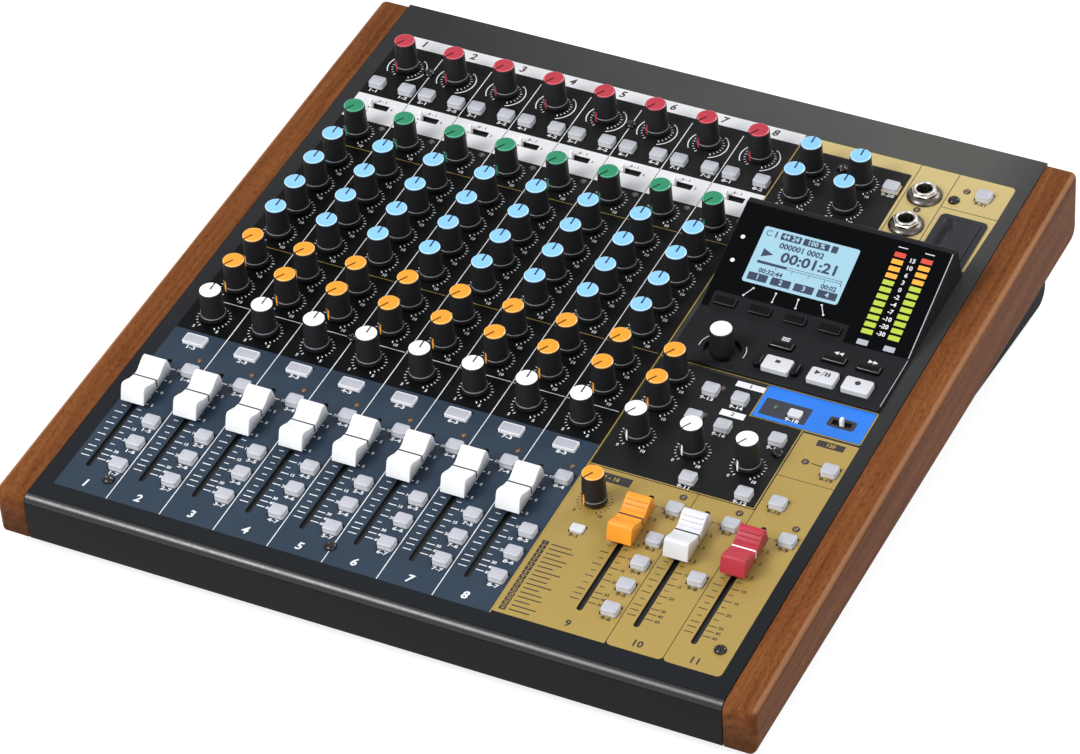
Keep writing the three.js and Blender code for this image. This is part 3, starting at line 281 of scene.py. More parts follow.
M = {
    # The lighter back colours of the charcoal paint and the field are painted sheen.
    "paint": rear_fade("charcoal_paint", (20, 23, 28), (84, 84, 81)),
    "rail": plain("rail_paint", (9, 10, 12), 0.34, 0.04, 0.3, 1.28),
    "field": rear_fade("field_paint", (7, 8, 9), (40, 40, 40), 0.1),
    "ridge": plain("ridge_polish", (9, 10, 11), 0.3, 0.004, grain=500.0),
    "slate": plain("slate_paint", (42, 55, 70), 0.42, 0.08, 0.15),
    "black": plain("black_paint", (16, 17, 18), 0.42, 0.08, 0.15),
    "gold": gold_paint("gold_paint"),
    "azure": plain("azure_paint", (24, 113, 216), 0.4, 0.05),
    "navy": plain("navy_paint", (26, 32, 46), 0.42, 0.05),
    "band": plain("band_ink", (214, 214, 216), 0.5, 0.05),
    "white_ink": plain("white_ink", (222, 223, 226), 0.5, 0.05),
    "black_ink": plain("black_ink", (24, 20, 14), 0.5, 0.05),
    "gold_ink": plain("gold_ink", (176, 150, 74), 0.45, 0.05, metal=0.3),
    "wood": wood("walnut"),
    "knob": plain("knob_rubber", (30, 30, 32), 0.46, 0.16, 0.25, mottle=0.08, grain=1500.0),
    # The light grey band round each knob body is a painted highlight.
    "ring": plain("knob_ring_highlight", (128, 130, 134), 0.35, 0.05),
    "notch": plain("notch_black", (22, 22, 24), 0.5, 0.05),
    "white": plain(
        "cap_white", (240, 241, 243), 0.36, 0.05,
        Subsurface_Weight=0.08, Subsurface_Radius=grey(0.002),
    ),
    # A lighter white for the white caps' bevels, a painted highlight.
    "rim_white": plain("cap_rim_white", (250, 250, 252), 0.3, 0.03),
    "pale": plain("cap_pale", (216, 217, 221), 0.36, 0.05),
    "key": key_plastic("key_grey"),
    "key_white": plain("key_white", (206, 207, 212), 0.36, 0.06),
    "plastic": plain(
        "housing_plastic", (31, 32, 34), 0.38, 0.16, 0.2, 1.2, mottle=0.06, grain=1800.0
    ),
    "door": plain("door_plastic", (44, 46, 51), 0.4, 0.12, 0.25, 1.3, mottle=0.06, grain=1800.0),
    "gloss": plain("window_gloss", (7, 8, 10), 0.09, 0.002, 0.1, 1.25),
    "jet": plain("jet_plastic", (9, 10, 12), 0.16, 0.01, 0.1),
    # A lighter grey for the rolled edges of the black keys, a painted highlight.
    "glint": plain("key_rim_highlight", (52, 54, 58), 0.2, 0.01),
    # Light lines along the housing's right edges, painted highlights.
    "edge": plain("painted_edge_highlight", (176, 178, 184), 0.35, 0.05),
    "chrome": plain("bright_nickel", (200, 197, 190), 0.24, 0.02, metal=1.0),
    "gunmetal": plain("dark_nickel", (88, 84, 80), 0.3, 0.03, metal=1.0),
    "screw": plain("black_screw", (56, 54, 54), 0.13, 0.02, metal=1.0),
    "lens": plain("lens_grey", (172, 174, 184), 0.3, 0.04, Coat_Weight=0.4, Coat_Roughness=0.1),
    "hole": plain("hole_black", (5, 5, 6), 0.6, 0.02),
    "steel": plain("powder_coat", (20, 21, 23), 0.5, 0.3, 0.12, 1.2, grain=1600.0),
    "rubber": plain("foot_rubber", (20, 20, 20), 0.8, 0.3, grain=1200.0),
    "board": plain("board_mask", (20, 60, 42), 0.5, 0.1),
    "screen": glow("screen_blue", (142, 180, 196), 0.22, 0.25),
    "pixel": plain("screen_pixel", (36, 50, 74), 0.35, 0.02),
    "led_green": glow("lamp_green", (162, 182, 56), 0.25),
    "led_amber": glow("lamp_amber", (226, 156, 50), 0.25),
    "led_red": glow("lamp_red", (192, 66, 48), 0.2),
    "bezel": plain("lamp_bezel", (40, 26, 15), 0.4, 0.05),
    "lamp": plain("lamp_lens", (92, 62, 24), 0.2, 0.02, Coat_Weight=0.6),
    "lamp_dark": plain("lamp_lens_dark", (34, 74, 38), 0.2, 0.02, Coat_Weight=0.6),
}
# Each cap colour with a lighter copy for the cap's bevel, a painted highlight.
for key, rgb, rim in (
    ("red", (176, 52, 66), (208, 92, 104)),
    ("green", (40, 130, 94), (84, 172, 134)),
    ("blue", (134, 194, 244), (186, 224, 252)),
    ("orange", (238, 154, 48), (252, 190, 104)),
):
    M[key] = plain("cap_" + key, rgb, 0.38, 0.06, 0.25)
    M["rim_" + key] = plain("cap_rim_" + key, rim, 0.3, 0.03)

# Shapes in millimetres, made into meshes in metres


def polar(centre, r, degrees):
    a = math.radians(degrees)
    return centre[0] + r * math.cos(a), centre[1] + r * math.sin(a)


def arc(x, y, r, a0, a1, steps):
    return [polar((x, y), r, a0 + (a1 - a0) * i / steps) for i in range(steps + 1)]


def circle(x, y, r, sides=24):
    return arc(x, y, r, 0, 360, sides)[:-1]


def rounded(x0, x1, y0, y1, r=0, steps=5):
    """A box with round corners, anticlockwise from its front right. r is one radius or four."""
    out = []
    radii = r if isinstance(r, tuple) else (r,) * 4
    for x, y, start, radius in zip((x1, x1, x0, x0), (y0, y1, y1, y0), (-90, 0, 90, 180), radii):
        cx = x - radius if x == x1 else x + radius
        cy = y - radius if y == y1 else y + radius
        out += arc(cx, cy, radius, start, start + 90, steps) if radius else [(x, y)]
    return out


def boxed(x, y, width, depth, r, steps=5):
    return rounded(x - width / 2, x + width / 2, y - depth / 2, y + depth / 2, r, steps)


def rolled(width, depth, r, rolls, fall=0.0, at=(0, 0), steps=5):
    """Rings of a box drawn in by each roll's first value, at the height of its second."""
    rings = []
    for pull, z in rolls:
        radius = max(0.25, r - fall * pull)
        loop = boxed(*at, width - 2 * pull, depth - 2 * pull, radius, steps)
        rings.append(at_height(loop, z))
    return rings


def area(loop):
    return sum(a[0] * b[1] - b[0] * a[1] for a, b in zip(loop, [*loop[1:], loop[0]])) / 2


def ccw(loop):
    return loop if area(loop) > 0 else loop[::-1]


def at_height(loop, z):
    return [(x, y, z) for x, y in loop]


def upright(loop, x):
    return [(x, *p) for p in loop]


def inset(loop, amount):
    """Moves each point of an anticlockwise loop inwards along its corner's normal."""
    out = []
    for i in range(len(loop)):
        a, b, c = (Vector(loop[(i + k) % len(loop)]) for k in (-1, 0, 1))
        n1, n2 = ((q - p).normalized() for p, q in ((a, b), (b, c)))
        side = Vector((-n1.y, n1.x))
        n = Vector((-n1.y - n2.y, n1.x + n2.x))
        if n.length < 1e-6:
            n = side.copy()
        n.normalize()
        out.append(b + n * (amount / max(0.5, n.dot(side))))
    return out


def add_object(name, data):
    obj = bpy.data.objects.new(name, data)
    bpy.context.scene.collection.objects.link(obj)
    return obj


GLYPHS = {}


def glyphs(words):
    """The outline of a plain number as flat faces, centred, one unit high."""
    if words not in GLYPHS:
        curve = bpy.data.curves.new("glyph", "FONT")
        curve.body, curve.size, curve.resolution_u = words, 1.0, 2
        curve.align_x, curve.align_y = "CENTER", "CENTER"
        curve.offset = 0.028
        obj = add_object("glyph", curve)
        bpy.context.view_layer.update()
        me = bpy.data.meshes.new_from_object(obj)
        verts = [(v.co.x, v.co.y) for v in me.vertices]
        faces = []
        for p in me.polygons:
            ids = tuple(p.vertices)
            faces.append(ids if area([verts[i] for i in ids]) > 0 else ids[::-1])
        bpy.data.objects.remove(obj)
        bpy.data.curves.remove(curve)
        bpy.data.meshes.remove(me)
        GLYPHS[words] = (verts, faces)
    return GLYPHS[words]


def put(name, mesh, slot, at=(0, 0, 0), turn=0.0, node=None, body="console", matrix=None):
    """Places a mesh on the deck: it rides on a CAD body and may stand for a node. Its slot is not
    used.
    """
    obj = add_object(name, mesh)
    local = matrix or Matrix.Translation(Vector(at) * MM) @ Matrix.Rotation(turn, 4, "Z")
    obj.matrix_world = DECK @ local
    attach(obj, node if node in frame["bodies"] else body)
    if node:
        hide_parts(node)


class Shape:
    """Faces in the making. Every call that adds some takes the number of their material."""

    def __init__(self):
        self.verts, self.faces, self.mats, self.smooth = [], [], [], []

    def add(self, verts, faces, mat=0, smooth=False):
        base = len(self.verts)
        self.verts += verts
        self.faces += [tuple(i + base for i in f) for f in faces]
        self.mats += [mat] * len(faces)
        self.smooth += [smooth] * len(faces)
        return self

    def loft(self, rings, mat=0, smooth=True, caps=(True, True), closed=True):
        """Joins rings of the same number of points, each a list of (x, y, z)."""
        count = len(rings[0])
        faces = []
        for r in range(len(rings) - 1):
            for i in range(count if closed else count - 1):
                j = (i + 1) % count
                a, b = r * count, (r + 1) * count
                faces.append((a + i, a + j, b + j, b + i))
        self.add([p for ring in rings for p in ring], faces, mat, smooth)
        if caps[0]:
            self.add(rings[0], [tuple(range(count))[::-1]], mat)
        if caps[1]:
            self.add(rings[-1], [tuple(range(count))], mat)
        return self

    def tube(self, rings, mat=0, smooth=False):
        """A loft that is open at both ends."""
        return self.loft(rings, mat, smooth, (False, False))

    def wall(self, loop, z0, z1, mat=0):
        """An upright wall that looks out of an anticlockwise loop, or into a clockwise one."""
        return self.tube([at_height(loop, z) for z in (z0, z1)], mat)

    def sheet(self, rows, mat=0, smooth=False):
        """A loft of open rows of points."""
        return self.loft(rows, mat, smooth, (False, False), False)

    def lathe(self, profile, sides=40, mat=0, centre=(0, 0)):
        """Turns (radius, height) points about an upright axis. Points on the axis close it."""
        return self.tube([at_height(circle(*centre, r, sides), z) for r, z in profile], mat, True)

    def fill(self, outer, z=0.0, mat=0, holes=(), up=True):
        """A flat area with holes."""
        loops = [[Vector((*p, z)) for p in loop] for loop in (outer, *holes)]
        verts = [v for loop in loops for v in loop]
        faces = []
        for t in tessellate_polygon(loops):
            a, b, c = (verts[i] for i in t)
            turn = (b - a).cross(c - a).z
            if abs(turn) > 1e-12:
                faces.append(t if (turn > 0) == up else t[::-1])
        return self.add(verts, faces, mat)

    def plate(self, outer, z0, z1, mat=0, holes=()):
        """A flat plate with holes, from z0 up to z1."""
        self.fill(outer, z1, mat, holes)
        self.fill(outer, z0, mat, holes, False)
        for loop in (ccw(outer), *(ccw(hole)[::-1] for hole in holes)):
            self.wall(loop, z0, z1, mat)
        return self

    def face(self, loop, mat=0, z=PRINT):
        """One flat face that looks up."""
        return self.add(at_height(ccw(loop), z), [tuple(range(len(loop)))], mat)

    def line(self, a, b, width, mat=0, z=PRINT):
        a, b = Vector(a), Vector(b)
        n = (b - a).normalized().orthogonal() * width / 2
        return self.face([a + n, a - n, b - n, b + n], mat, z)

    def rect(self, x0, x1, y0, y1, mat=0, z=PRINT):
        return self.face([(x0, y0), (x1, y0), (x1, y1), (x0, y1)], mat, z)

    def disc(self, centre, radius, mat=0, z=PRINT, sides=20):
        return self.face(circle(*centre, radius, sides), mat, z)

    def arc_line(self, centre, radius, a0, a1, width, mat=0, z=PRINT, steps=16):
        edges = (arc(*centre, radius + k * width, a0, a1, steps) for k in (-0.5, 0.5))
        return self.sheet([at_height(edge, z) for edge in edges], mat)

    def text(self, words, at, size, mat=0, z=PRINT, lean=0.0, stretch=1.0):
        verts, faces = glyphs(words)
        out = [(at[0] + (x + lean * y) * size * stretch, at[1] + y * size, z) for x, y in verts]
        return self.add(out, faces, mat)

    def mesh(self, name, *materials):
        me = bpy.data.meshes.new(name)
        me.from_pydata([[c * MM for c in v] for v in self.verts], [], self.faces)
        for key in materials:
            me.materials.append(M[key])
        me.polygons.foreach_set("material_index", self.mats)
        me.polygons.foreach_set("use_smooth", self.smooth)
        me.validate()
        me.update()
        return me

    def put(self, name, slot, *materials, **where):
        put(name, self.mesh(name, *materials), slot, **where)


# Where the controls are: strip, column, row

CHANNEL_KNOBS = [
    ("gain", GAIN, True, "red"),
    ("compressor", COMP, True, "green"),
    ("high", HIGH, False, "blue"),
    ("mid_frequency", FREQ, False, "blue"),
    ("mid_gain", MID, False, "blue"),
    ("low", LOW, False, "blue"),
    ("aux_1", AUX1, True, "orange"),
    ("aux_2", AUX2, True, "orange"),
    ("pan", PAN, False, "white"),
]
CHANNEL_KEYS = [
    ("low_cut", 5.6, 271.5, "square"),
    ("instrument", KEY_X, 271.5, "square"),
    ("record", 12.6, 85.6, "lens"),
    ("mute", KEY_X, 66.8, "square"),
    ("main", KEY_X, 32.9, "square"),
    ("sub", KEY_X, 19.1, "square"),
    ("solo", KEY_X, 4.6, "square"),
]
MASTER_KNOBS = [
    ("master_low_knob", 8, KNOB_X, GAIN - 18.7, False, "blue"),
    ("master_mid_gain_knob", 8, KNOB_X, GAIN, False, "blue"),
    ("master_high_knob", 8, KNOB_X + 23.4, GAIN - 18.7, False, "blue"),
    ("master_mid_frequency_knob", 8, KNOB_X + 23.4, GAIN, False, "blue"),
    ("aux_1_master_knob", 8, KNOB_X, AUX1, True, "orange"),
    ("aux_2_master_knob", 8, KNOB_X, AUX2, True, "orange"),
    ("monitor_level_knob", 8, KNOB_X, PAN, True, "white"),
    ("phones_1_level_knob", 9, KNOB_X, PAN, True, "white"),
    ("phones_2_level_knob", 10, KNOB_X, PAN, True, "white"),
    ("effect_level_knob", 8, KNOB_X, 59.6, True, "orange"),
]
MASTER_KEYS = [
    ("effect_select", 8, 13.3, 42.0, "flat"),
    ("effect_mute", 9, KEY_X, 66.8, "square"),
    ("effect_aux", 9, KEY_X, 47.2, "square"),
    ("effect_main", 9, KEY_X, 32.9, "square"),
    ("effect_sub", 9, KEY_X, 19.1, "square"),
    ("effect_listen", 9, KEY_X, 4.6, "square"),
    ("sub_mute", 10, KEY_X, 66.8, "square"),
    ("sub_main", 10, KEY_X, 32.9, "square"),
    ("main_mute", 11, KEY_X, 66.8, "square"),
    ("after_record", 11, 8.2, 85.6, "square"),
    ("phones_source_1", 9, 18.0, 85.6, "square"),
    ("phones_source_2", 10, 18.0, 85.6, "square"),
    ("aux_1_mute", 9, 4.9, AUX1 - 2.2, "square"),
    ("aux_1_listen", 9, 18.6, AUX1 - 3.0, "square"),
    ("aux_2_mute", 9, 4.9, AUX2 - 2.2, "square"),
    ("aux_2_listen", 9, 18.6, AUX2 - 3.0, "square"),
    ("return_source", 10, 17.9, AUX2 - 2.2, "square"),
    ("pairing", 10, 18.3, 138.2, "flat"),
    ("tap", 11, KEY_X, 111.0, "square"),
    ("equaliser_switch", 10, 0.0, 288.5, "square"),
    ("phantom_switch", 11, 15.1, 297.5, "square"),
]
FADERS = [(f"channel_{i + 1}_fader", i, "plain") for i in range(8)] + [
    ("effect_fader", 9, "orange"),
    ("sub_fader", 10, "white"),
    ("main_fader", 11, "red"),
]
SCREWS = [
    (-129.4, -4.3), (144.8, 0.8), (120.9, 113.7), (128.4, 290.9), (75.0, 293.0), (-125.9, 286.8),
    (-25.0, 286.8), (-25.5, -5.0), (-75.5, 112.0),
]
KEY_SIZES = {"square": (7.0, 6.0), "lens": (10.5, 6.0), "flat": (6.0, 4.4)}
JACKS = [spot(10, 15.2, row) for row in (268, 289.5)]

# Wooden end panels, rounded on the outer edges

WOOD_HEEL, WOOD_THICK, WOOD_EDGE = -36.9, 14, 3.0


def wood_outline():
    slope = math.atan2(RAIL_FOOT - WOOD_HEEL, REAR - FRONT)
    r = 7.0
    pts = [(FRONT, RAIL_FOOT)]
    heel = (REAR - r, WOOD_HEEL + r * (1 + math.tan(slope)))
    pts += arc(*heel, r, -90 - math.degrees(slope), 0, 8)
    pts += arc(REAR - 3, -3, 3, 0, 90, 5)
    return pts + arc(FRONT + 4, -4, 4, 90, 180, 7)


def wood_panel(side, way):
    loop = wood_outline()
    rings = [upright(inset(loop, 0.25), HALF), upright(loop, HALF + 0.25)]
    for k in range(7):
        a = math.pi / 2 * k / 6
        pulled = inset(loop, WOOD_EDGE * (1 - math.cos(a)))
        rings.append(upright(pulled, HALF + WOOD_THICK - WOOD_EDGE * (1 - math.sin(a))))
    rings = [[(way * x, y, z) for x, y, z in ring] for ring in rings][::way]
    Shape().loft(rings).put(side + "_wood", "wood", "wood", node=side + "_wood_panel")


wood_panel("left", -1)
wood_panel("right", 1)

# Top panel: flat sheet with its slots and holes, rolled ridge and front rail


def key_hole(strip, column, row, kind):
    width, depth = (size + 2 * KEY_GAP for size in KEY_SIZES[kind])
    return boxed(left(strip) + column, row, width, depth, 0.5, 2)


SLOT_COLUMNS = [left(strip) + SLOT_X for _, strip, _ in FADERS]
SLOT_R = SLOT_WIDTH / 2
HOLES = [
    arc(x, SLOT_END - SLOT_R, SLOT_R, 0, 180, 6) + arc(x, SLOT_R, SLOT_R, 180, 360, 6)
    for x in SLOT_COLUMNS
]
HOLES += [key_hole(strip, *key[1:]) for strip in range(8) for key in CHANNEL_KEYS]
HOLES += [key_hole(*key[1:]) for key in MASTER_KEYS]
for mode in (left(strip) + MODE_X for strip in range(8)):
    HOLES.append(rounded(mode - 4.5, mode + 4.9, 255.1, 258.4, 0.3, 2))
ASSIGN_LOOP = boxed(left(11) + ASSIGN_X, ASSIGN_ROW, 8.5, 3.0, 0.3, 2)
BAY_LOOP = rounded(left(8) + 77.8, left(8) + 97.9, 245.3, 280.1, 2.0, 4)
SHELF_LOOP = rounded(left(8) + 7, left(8) + 97.6, 155.0, 196.0, 2.0, 4)
HOLES += [ASSIGN_LOOP, BAY_LOOP, SHELF_LOOP, *(circle(x, y, 6.2) for x, y, _ in JACKS)]


def top_panel():
    half, start = HALF - 0.3, FRONT + RIDGE
    outline = [(-half, start), (half, start), (half, REAR), (-half, REAR)]
    flat = Shape().fill(outline, 0.0, 0, HOLES).fill(outline, -SHEET, 0, HOLES, False)
    # The walls of the holes are near-black, painted shade.
    for loop in HOLES:
        flat.wall(ccw(loop)[::-1], -SHEET, 0, 2)
    outer = [(FRONT, RAIL_FOOT)] + arc(start, -RIDGE, RIDGE, 180, 90, 12)
    inner = arc(start, -RIDGE, RIDGE - SHEET, 90, 180, 12) + [(FRONT + SHEET, RAIL_FOOT)]
    first = len(flat.faces)
    for pts in (outer, inner):
        flat.sheet([[(-half, *p), (half, *p)] for p in pts[::-1]], 1, True)
    flat.mats[first + 1 : first + 10] = [3] * 9
    for x in (-half, half):
        flat.add(upright(outer + inner, x), [tuple(range(len(outer + inner)))], 1)
    flat.sheet([[(-half, y, RAIL_FOOT), (half, y, RAIL_FOOT)] for y in (FRONT, FRONT + SHEET)], 1)
    a, b, c, d = outline
    for edge in ((a, d), (c, b), (d, c)):
        flat.sheet([at_height(edge, z) for z in (-SHEET, 0)])
    flat.put("panel_sheet", "panel", "paint", "rail", "hole", "ridge", node="top_panel")


top_panel()

# Printed fields, each cut out round the holes in it


def field(name, material, outer, z=0.03):
    (x0, x1), (y0, y1) = ((min(v), max(v)) for v in zip(*outer))
    inside = [loop for loop in HOLES if all(x0 < x < x1 and y0 < y < y1 for x, y in loop)]
    holes = [inset(ccw(loop), -0.12) for loop in inside]
    Shape().fill(outer, z, 0, holes).put(name, "panel", material)


# The sides of the channels' fields, the rows between them, and the gold's ends, column and corners
FIELD_X = (-149.8, 50.6)
FIELD_Y, SLATE_Y, MODE_Y, INPUT_Y, NUMBER_Y, TOP_Y = -14.6, 91.0, 246.0, 263.5, 301.5, 309.0
GOLD_Y, GOLD_TOP, GOLD_X, GOLD_ROUND = (-13.0, 79.0), 308.4, (125.7, 150.8), (2.2, 0, 0, 2.2)
field("slate_field", "slate", rounded(*FIELD_X, FIELD_Y, SLATE_Y))
field("knob_field", "field", rounded(*FIELD_X, SLATE_Y, MODE_Y))
field("mode_band", "band", rounded(*FIELD_X, MODE_Y, INPUT_Y))
field("input_field", "field", rounded(*FIELD_X, INPUT_Y, NUMBER_Y))
field("number_band", "band", rounded(FIELD_X[0] + 5, FIELD_X[1], NUMBER_Y, TOP_Y))
field("effect_gold", "gold", rounded(51.2, 100.6, *GOLD_Y, 0.5))
field("sub_gold", "gold", rounded(100.9, 125.4, *GOLD_Y, GOLD_ROUND))
field("main_gold", "gold", rounded(*GOLD_X, GOLD_Y[0], 101.8, GOLD_ROUND))
field("tap_gold", "gold", rounded(*GOLD_X, 102.1, 129.2, (0, 0.6, 0.6, 0)))
field("level_field", "black", rounded(51.7, 124.7, 80.4, 149.6, 0.4))
field("pairing_field", "azure", rounded(101.4, 150.0, 131.0, 150.9, 0.8), 0.045)
field("pairing_inset", "navy", rounded(103.4, 124.2, 133.2, 143.6, 0.4), 0.06)
field("equaliser_field", "field", rounded(51.2, 105.0, MODE_Y, 300.0))
HOOK = [(51.6, 300.5), (104.6, 300.5), (105.4, MODE_Y)]
HOOK += [(106.3, MODE_Y), (106.3, GOLD_TOP), (51.6, GOLD_TOP)]
field("equaliser_gold", "gold", HOOK)
field("phones_gold", "gold", rounded(106.7, 124.3, MODE_Y, GOLD_TOP))
field("phantom_gold", "gold", rounded(124.7, 150.9, 285.3, GOLD_TOP, (0, 2.2, 0, 0)))
ROUND_BAY = [(124.7, MODE_Y), (127.4, MODE_Y), (127.4, 280.3), (147.6, 280.3), (148.4, 279.5)]
ROUND_BAY += [(148.4, 250.6), (148.9, 248.2), (149.9, 248.4), (150.9, 284.9), (124.7, 284.9)]
field("card_gold", "gold", ROUND_BAY)

# Printed lines, ticks and plain numbers

ink = Shape()
WHITE, BLACK, GOLDEN = 0, 1, 2
# The fader scale: its numbered rows and the rows between, with their line widths and reach
SCALE = ("60", "40", "30", "20", "15", "10", "5", "0", "5", "10")
MAJOR = (5.6, 8.7, 11.7, 19.5, 26.7, 34.0, 42.5, 51.0, 58.5, 66.0)
MINOR = (15.5, 23.0, 30.3, 38.2, 46.7, 54.7, 62.2)
TICKS = ((MAJOR, 0.46, (-6.3, -2.5), (1.6, 5.2)), (MINOR, 0.4, (-5.2, -3.0), (2.1, 4.2)))
# The lines between strips: their ends, width and ink. The marks of a slide switch: place and size
RULES = ((-14.4, MODE_Y, 0.42, WHITE), (MODE_Y, INPUT_Y, 0.3, BLACK), (INPUT_Y, 298.4, 0.42, WHITE))
MODE_MARKS = (("1", 9.6, 252.4, 2.2), ("2", 19.9, MODE_ROW, 2.0), ("0 - 1", 13.8, 260.6, 2.3))


def dial(at, mat=WHITE, start=6.7, end=8.0, numbers=("0", "10")):
    """Ticks round a knob from seven o'clock to five o'clock, with a plain number at each end."""
    for i in range(21):
        a = 240 - 15 * i
        far, width = (end - 0.3, 0.36) if i % 5 else (end, 0.46)
        ink.line(polar(at, start, a), polar(at, far, a), width, mat)
    for words, a in zip(numbers, (-126, -54)):
        ink.text(words, polar(at, 9.6, a), 2.3, mat)


def gain_arc(at):
    for a0, a1 in ((-68, 52), (148, 215)):
        ink.arc_line(at, 9.1, a0, a1, 0.5, WHITE)
    x, y = polar(at, 9.1, 56)
    ink.face([(x, y), (x + 1.3, y - 0.5), (x + 0.2, y - 1.3)], WHITE)


def fader_scale(x, mat):
    for rows, width, *reaches in TICKS:
        for s in rows:
            for a, b in reaches:
                ink.line((x + a, s), (x + b, s), width, mat)
    for words, s in zip(SCALE, MAJOR):
        ink.text(words, (x + 6.9, s), 2.2, mat)


for strip in range(8):
    x = left(strip)
    number = str(strip + 1)
    for _, row, _, _ in CHANNEL_KNOBS:
        if row == GAIN:
            dial((x + KNOB_X, row), WHITE, 6.4, 7.6, ())
            gain_arc((x + KNOB_X, row))
        else:
            dial((x + KNOB_X, row), numbers=("5", "5") if row == PAN else ("0", "10"))
    fader_scale(x + SLOT_X, WHITE)
    ink.text(number, (x + 12.6, -9.5), 5.8, WHITE, lean=0.15)
    ink.text(number, (x + 12.7, 305.3), 5.8, BLACK, lean=0.15)
    ink.line((x + (0.6 if strip else 5), 112.3), (x + 24.4, 112.3), 0.4, WHITE)
    for row in (151.6, 226.9):
        ink.line((x + 0.6, row), (x + 24.4, row), 0.3, GOLDEN)
    for y0, y1, width, mat in RULES if strip else ():
        ink.line((x + 0.1, y0), (x + 0.1, y1), width, mat)
    ink.arc_line((x + 9.0, MODE_ROW), 3.4, 110, 250, 0.6, WHITE, steps=8)
    for k, (_, column, row, kind) in enumerate(CHANNEL_KEYS):
        drop = 4.6 if kind == "lens" else 4.9
        ink.text(f"{number}-{k + 1}", (x + column, row - drop), 2.7, WHITE, stretch=1.35)
    for words, column, row, size in MODE_MARKS:
        ink.text(words, (x + column, row), size, BLACK)
ink.line((50.9, FIELD_Y), (50.9, TOP_Y), 0.45, GOLDEN, 0.07)
for name, strip, column, row, _, _ in MASTER_KNOBS:
    dial((left(strip) + column, row), BLACK if name == "effect_level_knob" else WHITE)
for x in SLOT_COLUMNS[8:]:
    fader_scale(x, BLACK)
for k, (_, strip, column, row, kind) in enumerate(MASTER_KEYS):
    gold = row < 80 or (strip == 11 and row < 140) or row > 295
    at = (left(strip) + column, row - KEY_SIZES[kind][1] / 2 - 1.9)
    ink.text(f"9-{k + 1}", at, 2.7, BLACK if gold else WHITE, 0.08, stretch=1.25)
for i in range(16):
    s = 30.0 - 2.66 * i
    ink.rect(53.0, 55.9, s - 1.15, s + 1.15, BLACK, 0.05)
    ink.text(str(i + 1), (54.45, s), 1.7, GOLDEN, 0.07)
    ink.line((57.2, s), (57.2 + 9.0 + 2.4 * math.sin(i * 2.3), s), 0.6, BLACK)
LEVEL_EDGE = [(51.0, 79.7), (124.9, 79.7), (124.9, 130.5)]
LEVEL_EDGE += [(101.0, 130.5), (101.0, 151.2), (51.0, 151.2)]
for loop in (LEVEL_EDGE, rounded(101.0, 150.4, 130.5, 151.2, 1.0)):
    for a, b in zip(loop, [*loop[1:], loop[0]]):
        ink.line(a, b, 0.45, GOLDEN, 0.07)
ink.fill(rounded(132.4, 144.6, 136.9, 142.9, 1.4, 4), PRINT, BLACK, [ASSIGN_LOOP[::-1]])
for words, x0, x1, y0, y1 in (("1", 87.9, 101.0, 145.2, 148.6), ("2", 88.6, 99.6, 126.6, 130.2)):
    ink.rect(x0, x1, y0, y1, WHITE)
    ink.text(words, ((x0 + x1) / 2, (y0 + y1) / 2), 3.0, BLACK, 0.09)
ink.rect(133.4, 145.6, 123.9, 127.6, BLACK)
ink.text("120", (139.5, 125.7), 2.8, GOLDEN, 0.09)
ink.line((136.0, 113.3), (140.8, 113.0), 0.5, BLACK)
ink.rect(54.8, 72.4, 71.8, 76.8, BLACK)
ink.text("1 - 16", (63.6, 74.3), 3.0, GOLDEN, 0.09)
for words, x in (("9", 82.5), ("10", 112.9), ("11", 137.9)):
    ink.text(words, (x, -8.4), 5.0, BLACK)
ink.put("printed_marks", "panel", "white_ink", "black_ink", "gold_ink")

# Rotary knobs

CAP_R, SIDES = 4.6, 44


def notched_cap(shape, z, mat, rim_highlight_mat, floor_mat, depth=0.55, half=0.425):
    """A coloured disc with a groove from its middle to its edge along +y, and a lighter bevel round
    its edge as a painted highlight.
    """
    r = CAP_R
    edge = math.degrees(math.asin(half / r))
    loop = arc(0, 0, r, 90 + edge, 450 - edge, SIDES) + [(half, 0.0), (-half, 0.0)]
    pull = 1 - 0.4 / r
    top = [(x * pull, y * pull) if math.hypot(x, y) > r * 0.5 else (x, y) for x, y in loop]
    shape.fill(top, z, mat)
    shape.tube([at_height(loop, z - depth), at_height(loop, z - 0.2), at_height(top, z)], mat)
    shape.mats[-len(loop) :] = [rim_highlight_mat] * len(loop)
    shape.disc((0, 0), r - 0.05, floor_mat, z - depth + 0.02, SIDES)


def flank(shape, profile, half_width, mat, proud):
    """A narrow stripe up the +y side of a turned body."""
    rings = []
    for r, z in profile[::-1]:
        turn = math.degrees(half_width / r)
        rings.append([(*polar((0, 0), r + proud, 90 + k * turn), z) for k in (1, 0, -1)])
    shape.sheet(rings, mat, True)


def knob_mesh(cap, height=16.2):
    """Body, ring, cap and pointer of a knob; the ring's light grey is a painted highlight. The
    pointer is along +y.
    """
    shape = Shape()
    top = height - 0.45
    shape.lathe([(0.0, 0.8), (5.2, 0.8), (5.5, 1.0), (5.5, 2.9), (5.42, 3.1)], SIDES)
    shape.lathe([(5.42, 3.1), (5.5, 3.2), (5.5, 3.5), (5.36, 3.62)], SIDES, 1)
    upper = [(5.36, 3.62), (5.24, 4.2), (4.82, top - 0.5), (4.78, top - 0.15)]
    shape.lathe(upper + [(CAP_R, top), (4.45, top)], SIDES)
    notched_cap(shape, height, 2, 4, 3)
    shape.disc((0, 0), CAP_R, 0, top, SIDES)
    flank(shape, [(5.5, 1.0), (5.5, 3.6), (5.36, 3.7), (5.2, 6.6)], 0.55, 2, 0.05)
    flank(shape, [(5.2, 6.6), (4.82, top - 0.5), (CAP_R, top)], 0.3, 3, 0.02)
    return shape.mesh("knob_" + cap, "knob", "ring", cap, "notch", "rim_" + cap)


